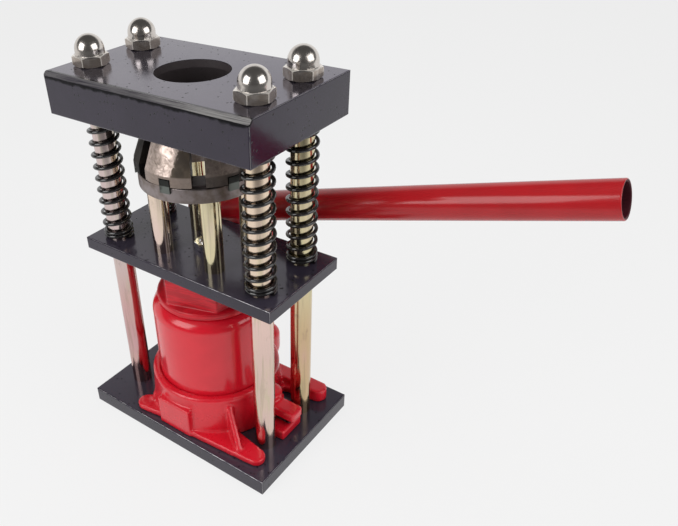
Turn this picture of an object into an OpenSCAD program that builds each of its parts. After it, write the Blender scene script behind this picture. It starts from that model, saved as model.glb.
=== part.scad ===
// Hose crimping press: a bottle jack between two plates lifts a sliding table on four columns
// and drives a ring of tapered dies up into the conical bore of the top plate.
// Millimetres, +Z up, origin at the centre of the base plate's underside.
// +X runs along the long side, towards the free end of the pump handle.

/* [Plates] */
// Base plate beyond the column axes, at each end
base_end = 25; // [22:0.5:40]
// Base plate beyond the column axes, at the front and the back
base_side = 39; // [36:0.5:52]
// Thickness of the base plate
base_t = 15; // [14:0.5:20]
// Sliding table beyond the column axes, at each end
table_end = 22; // [18:0.5:34]
// Sliding table beyond the column axes, at the front and the back
table_side = 19; // [17:0.25:21]
// Thickness of the sliding table
table_t = 11; // [10:0.5:14]
// Top plate beyond the column axes, at each end
top_end = 19; // [17:0.5:30]
// Top plate beyond the column axes, at the front and the back
top_side = 31; // [25:0.5:32]
// Thickness of the top plate
top_t = 32; // [28:0.5:38]
// Edge rounding of the base plate and the table
plate_edge_r = 1.2; // [0.6:0.1:2]
// Edge rounding of the top plate
top_edge_r = 1.2; // [0.6:0.1:2]
// Chamfer along the top plate's upper front edge
top_chamfer = 3; // [2:0.25:5]

/* [Columns and springs] */
// Diameter of the guide columns
column_d = 18; // [17.5:0.25:18.5]
// Distance between the columns along the long side
column_dx = 152; // [150:0.5:156]
// Distance between the columns along the short side
column_dy = 54; // [52:0.5:56]
// Diameter of the threaded stud at the column's top
stud_d = 16; // [14:0.5:16]
// Width across the flats of the cap nuts
nut_af = 24; // [23:0.5:27]
// Height of the hexagon of the cap nuts
nut_hex_h = 8; // [7:0.5:12]
// Diameter of the dome of the cap nuts
nut_dome_d = 22; // [20.5:0.25:22.5]
// Wire diameter of the return springs
spring_wire = 3; // [2.4:0.1:3.2]
// Radial play between a spring and its column
spring_play = 0.6; // [0.4:0.1:1.2]
// Active coils of a return spring
spring_active = 10; // [8:1:11]
// Closed coils at the foot of a spring
spring_foot_coils = 2; // [1:1:2]
// Closed coils at the head of a spring
spring_head_coils = 1; // [1:1:2]
// Diameter of the socket screws under the columns
column_screw_d = 10; // [8:0.5:10]

/* [Die carrier] */
// Rise of the table from rest to closed dies
stroke = 24; // [20:0.5:25]
// Diameter of the four posts under the die ring
post_d = 16; // [14:0.25:17]
// Length of the posts
post_h = 64; // [60:0.5:66]
// Distance between the posts along the long side
post_dx = 55; // [53:0.5:56]
// Distance between the posts along the short side
post_dy = 46; // [45:0.5:48]
// Outside diameter of the die ring
ring_d = 97; // [96:0.25:100]
// Bore of the die ring
ring_bore = 54; // [50:0.5:55]
// Thickness of the die ring
ring_t = 12.25; // [10.5:0.25:12.5]
// Diameter of the screws that hold the posts
post_screw_d = 8; // [6:0.5:8]

/* [Dies] */
// Diameter of the closed die bore
die_bore = 26; // [24:0.5:28]
// Height of a die segment
die_h = 37.7; // [36:0.1:42]
// Height of the straight band at the foot of a die
die_band_h = 8; // [7:0.25:12]
// Half angle of the cone in the top plate and on the dies
cone_angle = 22; // [21.5:0.1:22.4]
// Diameter of the hole at the face of the top plate
mouth_d = 56; // [55:0.25:57]
// Length of the straight land below that face
mouth_land = 6; // [5:0.25:7]
// Depth that the resting dies reach into the top plate
die_entry = 1; // [0.5:0.25:3]
// Number of grooves in the die bore
die_grooves = 5; // [2:1:6]
// Depth of a groove in the die bore
die_groove_depth = 1.2; // [0.6:0.1:1.6]
// Width of the guide key under a die
key_w = 8; // [6:0.25:9]
// Height of the guide key
key_h = 3.5; // [3:0.25:4]
// Length of the guide key
key_l = 21; // [17:0.5:21]

/* [Jack] */
// Closed height of the jack
jack_h = 150; // [148:0.5:152]
// Outside diameter of the oil tank
tank_d = 103; // [101:0.25:104]
// Wall of the oil tank
tank_wall = 4; // [3:0.25:5]
// Radius of the tank's shoulder
tank_shoulder_r = 12; // [9:0.5:13]
// Length of ram that shows between its nut and the table at rest
ram_show = 2; // [1:0.25:4]
// Diameter of the ram
ram_d = 40; // [38:0.5:41]
// Bore of the pressure cylinder
cylinder_bore = 48; // [46:0.5:49]
// Wall of the pressure cylinder
cylinder_wall = 6; // [5:0.25:6.5]
// Width across the flats of the tank nut
tank_nut_af = 77; // [74:0.5:79]
// Height of the hexagon of the tank nut
tank_nut_h = 25; // [22:0.5:26]
// Diameter of the flange under that hexagon
tank_flange_d = 92; // [90:0.5:93]
// Height of that flange
tank_flange_h = 5; // [3:0.25:6]
// Wall of the cast base's collar round the tank
collar_wall = 7; // [6:0.25:7.5]
// Height of the cast base's collar
collar_h = 42; // [41:0.5:43]
// Flare of the cast base's skirt from the collar to the plate
skirt_flare = 2.5; // [1:0.25:3.5]
// Thickness of the cast feet
foot_t = 6.5; // [6:0.25:10]
// Thickness of the ribs on the feet
rib_t = 5; // [4:0.25:6]
// Diameter of the screws that hold the jack down
jack_screw_d = 8; // [6:0.5:8]
// Height of the release valve over the base plate
release_z = 14.5; // [14:0.25:15]
// Diameter of the release screw
release_d = 8; // [6:0.25:8]

/* [Pump and handle] */
// Gap between the oil tank and the pump barrel
pump_gap = 5; // [4.5:0.25:6]
// Offset of the pump along the long side
pump_x = 4; // [2:0.25:6]
// Distance from the fulcrum to the plunger's pin
lever_arm = 40; // [38:0.5:42]
// Height of the lever's pins over the base plate
lever_z = 129; // [127:0.5:130]
// Diameter of the pump plunger
plunger_d = 12; // [11:0.25:13]
// Outside diameter of the pump barrel
barrel_d = 20; // [19:0.25:21]
// Diameter of the pins of the lever
pin_d = 10; // [9:0.25:10.5]
// Tilt of the handle at rest
handle_tilt = 16.6; // [14:0.1:18]
// Height of the handle's axis above the lever's pins, square to the handle
handle_rise = 29.5; // [29:0.25:32]
// Outside diameter of the handle tube
handle_d = 26; // [25:0.25:26.5]
// Wall of the handle tube
handle_wall = 2; // [1.5:0.25:4]
// Length of the handle tube
handle_l = 358; // [240:1:600]
// Wall of the handle socket
socket_wall = 4; // [3:0.25:4.5]
// Length of the handle socket
socket_l = 70; // [60:1:76]

/* [Hidden] */
$fn = 96;

// Clearances
slide_fit = 0.08;
pin_fit = 0.04;
bolt_play = 0.25;
seat_play = 0.1;
// Extra length of a cut past a face
over = 1;
// How far the sides of a tangent bar lie inside its tangents
bar_inset = 0.02;

// Plates: their outlines follow the columns
base_l = column_dx + 2 * base_end;
base_w = column_dy + 2 * base_side;
table_l = column_dx + 2 * table_end;
table_w = column_dy + 2 * table_side;
top_l = column_dx + 2 * top_end;
top_w = column_dy + 2 * top_side;

// Heights
base_top = base_t;
table_z = base_top + jack_h;
table_top = table_z + table_t;
ring_z = table_top + post_h;
ring_top = ring_z + ring_t;
// Gap under a die, so that it glides on the ring
die_glide = 0.04;
die_z = ring_top + die_glide;
top_z = die_z + die_h - die_entry;
top_face = top_z + top_t;
column_h = top_z - base_top;

// Socket screws: head and socket sizes follow the thread
function head_d(d) = 1.6 * d;
function head_h(d) = 0.6 * d;
function key_af(d) = 0.7 * d;
function key_depth(d) = 0.35 * d;
head_play = 0.5;
head_sink = 0.5;
screw_bite = 16;
tap_bite = screw_bite + 2;
jack_screw_bite = foot_t - 2;
ring_bite = 4.75;
ring_bite_play = 0.5;

// Cap nuts
nut_neck_h = 3;
nut_stud = nut_hex_h + 4;
nut_bore_h = nut_stud + 1;
nut_chamfer = 0.6;
// Turn of each cap nut, in the order of the columns
nut_turns = [[-9, -20], [-14, -28]];

// Nut and stud that hold the ram to the table
ram_stud_d = 12;
ram_nut_af = 19;
ram_nut_h = 6;
ram_nut_turn = 38;
ram_stud_show = 2;
ram_stud_chamfer = 1;

// Dies: six sectors that slide in and out as the ring rises and falls
die_count = 6;
die_first_angle = -80;
die_step = 360 / die_count;
die_cone_play = 0.35;
die_end_gap = 0.6;
die_open = die_end_gap + stroke * tan(cone_angle);
land_z = top_face - mouth_land;
function cone_r(z) = mouth_d / 2 + (land_z - z) * tan(cone_angle);
function die_r(z) = cone_r(z) - die_cone_play - die_open;
die_top_chamfer = 1;
key_inner_r = 14;
key_play = 0.2;
key_root = 2;
groove_floor_play = 0.5;
groove_h = key_h + groove_floor_play;
groove_w = key_w + 2 * key_play;
ring_rim_r = 1;
// Step round the ring's upper rim, below the faces that carry the dies
ring_step_w = 4.5;
ring_step_h = 1;
keeper_t = 1.6;
keeper_plug_l = 2.6;
// How far a keeper's tab reaches below and above the top of the ring
keeper_down = 5;
keeper_up = 5.5;
notch_play = 0.5;
notch_w = groove_w + 2 * notch_play;

// Jack: the tank reaches up to its nut, and the nut to the ram's bare end under the table
collar_d = tank_d + 2 * collar_wall;
skirt_d = collar_d + 2 * skirt_flare;
collar_grip = 10;
sump_h = 8;
sump_wall = 4;
cylinder_sink = 11;
gasket_t = 1.5;
tank_seat_z = base_top + collar_h - collar_grip;
tank_foot = tank_seat_z + gasket_t;
tank_floor_z = tank_seat_z - sump_h;
cylinder_floor_z = tank_floor_z - cylinder_sink;
nut_top_z = table_z - ram_show;
nut_hex_z = nut_top_z - tank_nut_h;
tank_top_z = nut_hex_z - tank_flange_h;
nut_root = 1;
nut_rim_r = 2;
nut_corner_cut = 4;
nut_skirt_wall = 6;
nut_skirt_l = 16;
cylinder_od = cylinder_bore + 2 * cylinder_wall;
cylinder_grip = 2;
cylinder_top_z = nut_hex_z + cylinder_grip;
nut_skirt_d = cylinder_od + 2 * nut_skirt_wall;
nut_skirt_z = tank_top_z - nut_skirt_l;
tank_nut_turn = 17;
piston_rest = 6;
piston_z = cylinder_floor_z + piston_rest;
piston_h = 18;
piston_seal_h = 6;
piston_seal_depth = 4;
wiper_w = 4;
wiper_h = 5;
oil_way_d = 5;
oil_riser_d = 4;
oil_way_h = 6.5;
oil_way_z = base_top + oil_way_h;
filler_angle = 160;
filler_drop = 30;
filler_z = tank_top_z - filler_drop;
filler_d = 10;
filler_neck_d = 18;
filler_neck_h = 2;
filler_neck_root = 3;
filler_head_t = 2.5;

// Feet of the cast base: the front pair passes outside the columns
foot_tip_r = 8;
foot_root_r = 16;
foot_column_gap = 4.5;
foot_overrun = 5.5;
foot_front_y = column_dy / 2 + column_d / 2 + foot_column_gap + foot_tip_r;
foot_front_tip = [column_dx / 2 + foot_overrun, foot_front_y];
foot_front_root = [18, 45];
foot_back_tip = [-43, 54];
foot_back_root = [-14, 42];
foot_screw_skin = 1;
// Top of a rib inside the skirt, and how far its toe stops short of the foot's tip
rib_front_root = [36.5, 31.3];
rib_front_tip = [72, 55.7];
rib_back_root = [-26, 36];
rib_h = 30.5;
rib_flat = 9;
rib_toe_h = 2;
rib_toe_back = 5;
rib_root = 1;
// Straight rail on the foot at the pump's side
rail_h = 12.5;
rail_root_x = 30;
jack_screw_inset = 4;
collar_band_h = 8;
collar_rim_r = 3;

// Release valve block on the +X side, between the columns
valve_gap_front = 0.6;
valve_gap_back = 7;
column_gap = column_dy - column_d;
valve_block_w = column_gap - valve_gap_front - valve_gap_back;
valve_y = (valve_gap_front - valve_gap_back) / 2;
valve_block_x = 88;
valve_block_h = 25;
valve_block_sink = 16;
valve_block_r = 1.5;
valve_plate_h = 10;
valve_lug_x = 94;
valve_lug_w = 15.5;
valve_lug_h = 28;
valve_lug_r = 3;
valve_hump_h = 8;
valve_hump_d = 22;
valve_hump_y = 4;
valve_slot_h = 9;
valve_slot_l = 18;
valve_seat_x = 54;
release_head_d = 8.5;
release_ball_d = 6;
release_way_d = 4;
release_head_inset = 2;
release_slot_w = 2.5;
release_slot_depth = 3;
valve_z = base_top + release_z;
// Height of a resting ball over the rim of its seat
ball_lift = 0.02;

// Pad on the front of the cast base
pad_w = 36;
pad_h = 30;
pad_y = 62;

// Pump
pump_y = tank_d / 2 + pump_gap + barrel_d / 2;
lever_pin_z = base_top + lever_z;
pump_boss_d = 34;
pump_boss_foot_d = 27;
pump_boss_flare_h = 15;
pump_boss_h = 36;
pump_boss_rim = 6;
pump_boss_top = base_top + pump_boss_h;
pump_web_h = 26;
barrel_sink = 13;
barrel_drop = 32;
barrel_seat_z = pump_boss_top - barrel_sink;
barrel_top_z = lever_pin_z - barrel_drop;
barrel_hex_lip = 1;
barrel_hex_af = barrel_d + 2 * barrel_hex_lip;
barrel_hex_h = 8;
pump_seal_w = 1.8;
pump_seal_h = 5;
check_ball_d = 7;
check_chamber_d = 10;
check_chamber_h = 10;
check_seat_z = barrel_seat_z - check_chamber_h;
plunger_room = 18;
plunger_foot_z = barrel_seat_z + plunger_room;

// Lever
fulcrum_x = pump_x - lever_arm;
lever_down = 20;
pin_walk = lever_arm * (1 - cos(lever_down));
eye_wall = 6;
eye_r = pin_d / 2 + eye_wall;
eye_w = 15;
cheek_play = 0.5;
cheek_gap = eye_w + 2 * cheek_play;
cheek_t = 4.5;
lever_w = cheek_gap + 2 * cheek_t;
slot_play = 0.45;
plunger_head_w = 24;
plunger_head_h = 24;
plunger_head_r = 4;
plunger_head_shift = -1;
clip_t = 1;
clip_d = 16;
clip_groove_d = 8;
clip_play = 0.05;
pin_end = 2.2;
post_shank_d = 16;
fulcrum_pad_d = 30;
fulcrum_pad_h = 25;
fulcrum_hex_af = 24;
fulcrum_hex_h = 8;
fulcrum_stud_d = 14;
fulcrum_stud_l = 16;
socket_play = 0.15;
socket_bore = handle_d + 2 * socket_play;
socket_od = socket_bore + 2 * socket_wall;
socket_end_t = 6;
socket_shoulder = 4;
clip_mouth = 60;
// Distance along the handle's axis from the point above the fulcrum to the socket's closed end
socket_behind = 22;

// Colours as the photograph shows them
plate_colour = [0.27, 0.27, 0.29];
zinc_colour = [0.80, 0.74, 0.58];
nickel_colour = [0.78, 0.78, 0.80];
spring_colour = [0.10, 0.10, 0.11];
red_colour = [0.78, 0.13, 0.15];
handle_colour = [0.62, 0.10, 0.13];
steel_colour = [0.58, 0.56, 0.54];
black_colour = [0.13, 0.13, 0.13];
rubber_colour = [0.16, 0.16, 0.17];
oxide_colour = [0.22, 0.22, 0.23];

// Rectangle with round corners, centred
module rounded_rect(l, w, r) {
    square([l - 2 * r, w], center = true);
    square([l, w - 2 * r], center = true);
    for (x = [-1, 1], y = [-1, 1])
        translate([x * (l / 2 - r), y * (w / 2 - r)]) circle(r);
}

// Flat plate with every edge rounded, standing on z = 0
module slab(l, w, t, r) {
    intersection() {
        linear_extrude(t) rounded_rect(l, w, r);
        translate([0, w / 2 + over, t / 2]) rotate([90, 0, 0])
            linear_extrude(w + 2 * over) rounded_rect(l, t, r);
        translate([-l / 2 - over, 0, t / 2]) rotate([90, 0, 90])
            linear_extrude(l + 2 * over) rounded_rect(w, t, r);
    }
}

// Two circles joined along their outer tangents, with the sides a hair inside so that they cross the circles
module tangent_bar(p, rp, q, rq) {
    span = norm(q - p);
    heading = atan2(q[1] - p[1], q[0] - p[0]);
    lean = acos((rp - rq) / span);
    a = heading + lean;
    b = heading - lean;
    side_p = rp - bar_inset;
    side_q = rq - bar_inset;
    translate(p) circle(rp);
    translate(q) circle(rq);
    polygon([p + side_p * [cos(a), sin(a)], p + side_p * [cos(b), sin(b)],
        q + side_q * [cos(b), sin(b)], q + side_q * [cos(a), sin(a)]]);
}

// Hexagonal prism by its width across the flats
module hexagon(af, h) {
    cylinder(d = af / cos(30), h = h, $fn = 6);
}

// Hexagonal prism whose corners are turned down at both ends
module chamfered_hexagon(af, h) {
    end = af - nut_chamfer;
    spread = 2 * h * tan(60);
    intersection() {
        hexagon(af, h);
        cylinder(d1 = end + spread, d2 = end, h = h);
        cylinder(d1 = end, d2 = end + spread, h = h);
    }
}

// Half section of a turned body with a rounded upper rim
module rim_section(r, z0, z1, rim) {
    translate([0, z0]) square([r, z1 - z0 - rim]);
    translate([0, z0]) square([r - rim, z1 - z0]);
    translate([r - rim, z1 - rim]) circle(rim);
}

module at_columns() {
    for (x = [-1, 1], y = [-1, 1]) translate([x * column_dx / 2, y * column_dy / 2, 0]) children();
}

module at_posts() {
    for (x = [-1, 1], y = [-1, 1]) translate([x * post_dx / 2, y * post_dy / 2, 0]) children();
}

module at_dies() {
    for (k = [0:die_count - 1]) rotate([0, 0, die_first_angle + k * die_step]) children();
}

// Places of the hold-down screws in the tips of the cast feet
module at_jack_screws() {
    for (y = [-1, 1]) {
        translate([foot_front_tip[0] - jack_screw_inset, y * foot_front_tip[1], 0]) children();
        translate([foot_back_tip[0] + jack_screw_inset, y * foot_back_tip[1], 0]) children();
    }
}

// Low socket screw, head down, head's seat at z = 0 and shank upwards
module socket_screw(d, l) {
    difference() {
        union() {
            translate([0, 0, -head_h(d)]) cylinder(d = head_d(d), h = head_h(d));
            cylinder(d = d, h = l);
        }
        translate([0, 0, -head_h(d) - over]) hexagon(key_af(d), key_depth(d) + over);
    }
}

// Hole and sunk seat for a socket screw that enters from below; the seat is at height t
module screw_well(d, t, h) {
    translate([0, 0, -over]) cylinder(d = head_d(d) + 2 * head_play, h = t + over);
    cylinder(d = d + 2 * bolt_play, h = h + over);
}

// Domed cap nut standing on z = 0, with its blind bore
module cap_nut() {
    dome_z = nut_hex_h + nut_neck_h;
    difference() {
        union() {
            chamfered_hexagon(nut_af, nut_hex_h);
            cylinder(d = nut_dome_d, h = dome_z);
            intersection() {
                translate([0, 0, dome_z]) sphere(d = nut_dome_d);
                cylinder(d = 2 * nut_dome_d, h = dome_z + nut_dome_d);
            }
        }
        translate([0, 0, -over]) cylinder(d = stud_d + 2 * seat_play, h = nut_bore_h + over);
    }
}

module base_plate() {
    color(plate_colour)
    difference() {
        slab(base_l, base_w, base_t, plate_edge_r);
        at_columns() screw_well(column_screw_d, head_h(column_screw_d) + head_sink, base_t);
        at_jack_screws() screw_well(jack_screw_d, head_h(jack_screw_d) + head_sink, base_t);
    }
}

// Guide column with a tapped foot and a shouldered stud
module column(x, y) {
    color(zinc_colour)
    translate([x * column_dx / 2, y * column_dy / 2, base_top])
    difference() {
        union() {
            cylinder(d = column_d, h = column_h);
            cylinder(d = stud_d, h = column_h + top_t + nut_stud);
        }
        translate([0, 0, -over]) cylinder(d = column_screw_d + 2 * seat_play, h = tap_bite + over);
    }
}

module column_screws() {
    seat = head_h(column_screw_d) + head_sink;
    color(oxide_colour)
    at_columns() translate([0, 0, seat]) socket_screw(column_screw_d, base_t - seat + screw_bite);
}

module top_plate() {
    color(plate_colour)
    difference() {
        translate([0, 0, top_z]) slab(top_l, top_w, top_t, top_edge_r);
        translate([0, 0, top_z]) cylinder(r1 = cone_r(top_z), r2 = mouth_d / 2, h = land_z - top_z);
        translate([0, 0, top_z - over]) cylinder(r = cone_r(top_z), h = over);
        translate([0, 0, land_z]) cylinder(d = mouth_d, h = mouth_land + over);
        at_columns() translate([0, 0, top_z - over])
            cylinder(d = stud_d + 2 * bolt_play, h = top_t + 2 * over);
        translate([0, -top_w / 2, top_face]) rotate([45, 0, 0])
            cube([top_l + 2 * over, top_chamfer * sqrt(2), top_chamfer * sqrt(2)], center = true);
    }
}

module cap_nuts() {
    color(nickel_colour)
    for (x = [0, 1], y = [0, 1])
        translate([(x - 0.5) * column_dx, (y - 0.5) * column_dy, top_face])
        rotate([0, 0, nut_turns[x][y]]) cap_nut();
}

// Return spring: a round wire swept along a helix whose end coils lie closed
spring_sides = 6;
spring_steps = 16;
spring_lift = 0.05;
spring_coil_r = column_d / 2 + spring_play + spring_wire / 2;
spring_turns = spring_foot_coils + spring_active + spring_head_coils;
spring_low = table_top + spring_wire / 2 + spring_lift;
spring_high = top_z - spring_wire / 2 - spring_lift;
closed_pitch = spring_wire + spring_lift;
closed_h = (spring_foot_coils + spring_head_coils) * closed_pitch;
active_pitch = (spring_high - spring_low - closed_h) / spring_active;
function coil_z(u) = spring_low + closed_pitch * min(u, spring_foot_coils)
    + active_pitch * min(max(u - spring_foot_coils, 0), spring_active)
    + closed_pitch * max(u - spring_foot_coils - spring_active, 0);
function coil_point(u, v) = let (r = spring_coil_r + spring_wire / 2 * cos(v))
    [r * cos(360 * u), r * sin(360 * u), coil_z(u) + spring_wire / 2 * sin(v)];

module spring(x, y) {
    rings = spring_turns * spring_steps;
    points = [for (i = [0:rings], j = [0:spring_sides - 1])
        coil_point(i / spring_steps, 90 + j * 360 / spring_sides)];
    walls = [for (i = [0:rings - 1], j = [0:spring_sides - 1])
        let (k = (j + 1) % spring_sides, a = i * spring_sides, b = a + spring_sides)
        each [[a + j, b + j, a + k], [a + k, b + j, b + k]]];
    foot = [for (j = [0:spring_sides - 1]) j];
    head = [for (j = [spring_sides - 1:-1:0]) rings * spring_sides + j];
    color(spring_colour)
    translate([x * column_dx / 2, y * column_dy / 2, 0])
    polyhedron(points, concat(walls, [foot, head]));
}

module sliding_table() {
    well = head_h(post_screw_d) + head_sink;
    color(plate_colour)
    translate([0, 0, table_z])
    difference() {
        slab(table_l, table_w, table_t, plate_edge_r);
        at_columns() translate([0, 0, -over]) cylinder(d = column_d + 2 * slide_fit, h = table_t + 2 * over);
        at_posts() screw_well(post_screw_d, well, table_t);
        translate([0, 0, -over]) cylinder(d = ram_stud_d + 2 * bolt_play, h = table_t + 2 * over);
    }
}

module ram_nut() {
    color(nickel_colour)
    translate([0, 0, table_top]) rotate([0, 0, ram_nut_turn]) difference() {
        chamfered_hexagon(ram_nut_af, ram_nut_h);
        translate([0, 0, -over]) cylinder(d = ram_stud_d + 2 * seat_play, h = ram_nut_h + 2 * over);
    }
}

// Post between the table and the die ring, tapped at both ends
module post(x, y) {
    color(zinc_colour)
    translate([x * post_dx / 2, y * post_dy / 2, table_top])
    difference() {
        cylinder(d = post_d, h = post_h);
        for (z = [-over, post_h - tap_bite])
            translate([0, 0, z]) cylinder(d = post_screw_d + 2 * seat_play, h = tap_bite + over);
    }
}

module post_lower_screws() {
    seat = head_h(post_screw_d) + head_sink;
    color(oxide_colour)
    at_posts() translate([0, 0, table_z + seat]) socket_screw(post_screw_d, table_t - seat + screw_bite);
}

// Headless studs between the posts and blind holes under the die ring
module post_upper_screws() {
    color(oxide_colour)
    at_posts() translate([0, 0, ring_z - screw_bite]) cylinder(d = post_screw_d, h = screw_bite + ring_bite);
}

module die_ring() {
    color(steel_colour)
    difference() {
        translate([0, 0, ring_z]) rotate_extrude() difference() {
            union() {
                rim_section(ring_d / 2, 0, ring_t - ring_step_h, ring_rim_r);
                square([ring_d / 2 - ring_step_w, ring_t]);
            }
            square([ring_bore / 2, 2 * ring_t]);
        }
        at_posts() translate([0, 0, ring_z - over])
            cylinder(d = post_screw_d + 2 * seat_play, h = over + ring_bite + ring_bite_play);
        at_dies() translate([0, -groove_w / 2, ring_top - groove_h])
            cube([ring_d, groove_w, groove_h + over]);
    }
}

// Clips that close the outer ends of the guide grooves
module die_keepers() {
    rim = ring_d / 2;
    color(black_colour)
    at_dies() {
        translate([rim - keeper_plug_l, -groove_w / 2, ring_top - groove_h])
            cube([keeper_plug_l + seat_play + keeper_t, groove_w, groove_h]);
        translate([rim + seat_play, -groove_w / 2, ring_top - keeper_down])
            cube([keeper_t, groove_w, keeper_down + keeper_up]);
    }
}

// Section of a closed die: a grooved bore, a cone outside and a straight band at the foot
module die_section() {
    bore_r = die_bore / 2;
    top = die_z + die_h;
    shoulder = die_z + die_band_h;
    pitch = die_h / (2 * die_grooves + 1);
    bore_wall = [for (i = [0:2 * die_grooves], end = [0, 1])
        [bore_r + (i % 2) * die_groove_depth, top - (i + end) * pitch]];
    polygon(concat(bore_wall, [[die_r(shoulder), die_z], [die_r(shoulder), shoulder],
        [die_r(top - die_top_chamfer), top - die_top_chamfer], [die_r(top) - die_top_chamfer, top]]));
}

// One die: a sector with a notch for its keeper's tab and a guide key underneath
module die(k) {
    notch_r = ring_d / 2 + seat_play - die_open - notch_play;
    color(steel_colour)
    rotate([0, 0, die_first_angle + (k - 1) * die_step])
    translate([die_open, 0, 0]) {
        difference() {
            rotate([0, 0, -die_step / 2]) rotate_extrude(angle = die_step) die_section();
            translate([notch_r, -notch_w / 2, die_z - over])
                cube([ring_d, notch_w, over + keeper_up + notch_play]);
        }
        translate([key_inner_r, -key_w / 2, die_z - key_h]) cube([key_l, key_w, key_h + key_root]);
    }
}

module ram() {
    piston_d = cylinder_bore - 2 * slide_fit;
    groove_z = piston_z + (piston_h - piston_seal_h) / 2;
    stud_l = table_t + ram_nut_h + ram_stud_show;
    color(nickel_colour)
    difference() {
        union() {
            translate([0, 0, piston_z]) cylinder(d = piston_d, h = piston_h);
            translate([0, 0, piston_z]) cylinder(d = ram_d, h = table_z - piston_z);
            translate([0, 0, table_z]) cylinder(d = ram_stud_d, h = stud_l - ram_stud_chamfer);
            translate([0, 0, table_z + stud_l - ram_stud_chamfer])
                cylinder(d1 = ram_stud_d, d2 = ram_stud_d - 2 * ram_stud_chamfer, h = ram_stud_chamfer);
        }
        translate([0, 0, groove_z]) difference() {
            cylinder(d = piston_d + 2 * over, h = piston_seal_h);
            translate([0, 0, -over])
                cylinder(d = piston_d - 2 * piston_seal_depth, h = piston_seal_h + 2 * over);
        }
    }
}

module piston_seal() {
    piston_d = cylinder_bore - 2 * slide_fit;
    color(rubber_colour)
    translate([0, 0, piston_z + (piston_h - piston_seal_h) / 2])
    difference() {
        cylinder(d = piston_d, h = piston_seal_h);
        translate([0, 0, -over])
            cylinder(d = piston_d - 2 * piston_seal_depth + 2 * pin_fit, h = piston_seal_h + 2 * over);
    }
}

// Half section of the cast skirt: a slight cone under a straight collar with a rounded rim
module skirt_section() {
    r = collar_d / 2;
    polygon([[0, 0], [skirt_d / 2, 0], [r, collar_h - collar_band_h], [r, collar_h - collar_rim_r],
        [r - collar_rim_r, collar_h], [0, collar_h]]);
    translate([r - collar_rim_r, collar_h - collar_rim_r]) circle(collar_rim_r);
}

// One cast foot in plan, mirrored to the back by the sign of side
module foot_plan(tip, root, side) {
    tangent_bar([root[0], side * root[1]], foot_root_r, [tip[0], side * tip[1]], foot_tip_r);
}

// Triangular rib from inside the skirt down to a foot
module foot_rib(tip, root, side) {
    run = tip - root;
    reach = norm(run) - rib_toe_back;
    translate([root[0], side * root[1], base_top + foot_t - rib_root])
        rotate([90, 0, atan2(side * run[1], run[0])]) translate([0, 0, -rib_t / 2]) linear_extrude(rib_t)
        polygon([[0, 0], [reach, 0], [reach, rib_toe_h], [rib_flat, rib_h], [0, rib_h]]);
}

module release_way() {
    start = [valve_seat_x, valve_y, valve_z];
    end = [0, 0, oil_way_z];
    run = end - start;
    translate(start - 2 * over * run / norm(run)) rotate([0, acos(run[2] / norm(run)), atan2(run[1], run[0])])
        cylinder(d = release_way_d, h = norm(run) + 2 * over);
}

// Cast base of the jack: skirt, feet, ribs, pump boss and valve block
module jack_base() {
    floor_z = base_top;
    color(red_colour)
    difference() {
        union() {
            translate([0, 0, floor_z]) rotate_extrude() skirt_section();
            for (side = [-1, 1]) {
                translate([0, 0, floor_z]) linear_extrude(foot_t) {
                    foot_plan(foot_front_tip, foot_front_root, side);
                    foot_plan(foot_back_tip, foot_back_root, side);
                }
                foot_rib(foot_back_tip, rib_back_root, side);
            }
            foot_rib(rib_front_tip, rib_front_root, -1);
            translate([0, 0, floor_z]) linear_extrude(rail_h)
                tangent_bar([rail_root_x, foot_front_y], foot_tip_r, foot_front_tip, foot_tip_r);
            translate([-pad_w / 2, -pad_y, floor_z]) cube([pad_w, pad_y / 2, pad_h]);
            pump_boss();
            valve_block();
        }
        translate([0, 0, tank_seat_z]) cylinder(d = tank_d + 2 * seat_play, h = collar_h);
        translate([0, 0, tank_floor_z]) cylinder(d = tank_d - 2 * tank_wall - 2 * sump_wall, h = collar_h);
        translate([0, 0, cylinder_floor_z]) cylinder(d = cylinder_od + 2 * seat_play, h = collar_h);
        translate([0, 0, oil_way_z]) cylinder(d = oil_riser_d, h = collar_h);
        translate([pump_x, pump_y, barrel_seat_z]) cylinder(d = barrel_d + 2 * seat_play, h = pump_boss_h);
        translate([pump_x, pump_y, pump_boss_top])
            cylinder(d = barrel_hex_af / cos(30) + 2 * bolt_play, h = pump_boss_h);
        translate([pump_x, pump_y, check_seat_z]) cylinder(d = check_chamber_d, h = pump_boss_h);
        translate([pump_x, pump_y, oil_way_z]) cylinder(d = oil_riser_d, h = pump_boss_h);
        translate([0, 0, oil_way_z]) rotate([-90, 0, atan2(-pump_x, pump_y)]) translate([0, 0, -oil_way_d])
            cylinder(d = oil_way_d, h = norm([pump_x, pump_y]) + 2 * oil_way_d);
        translate([fulcrum_x, pump_y, floor_z + fulcrum_pad_h - fulcrum_stud_l - over])
            cylinder(d = fulcrum_stud_d + 2 * seat_play, h = fulcrum_pad_h);
        translate([valve_seat_x, valve_y, valve_z]) rotate([0, 90, 0])
            cylinder(d = release_d + 2 * pin_fit, h = valve_block_x);
        release_way();
        at_jack_screws() translate([0, 0, floor_z - over])
            cylinder(d = jack_screw_d + 2 * seat_play, h = foot_t - foot_screw_skin + over);
    }
}

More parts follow.
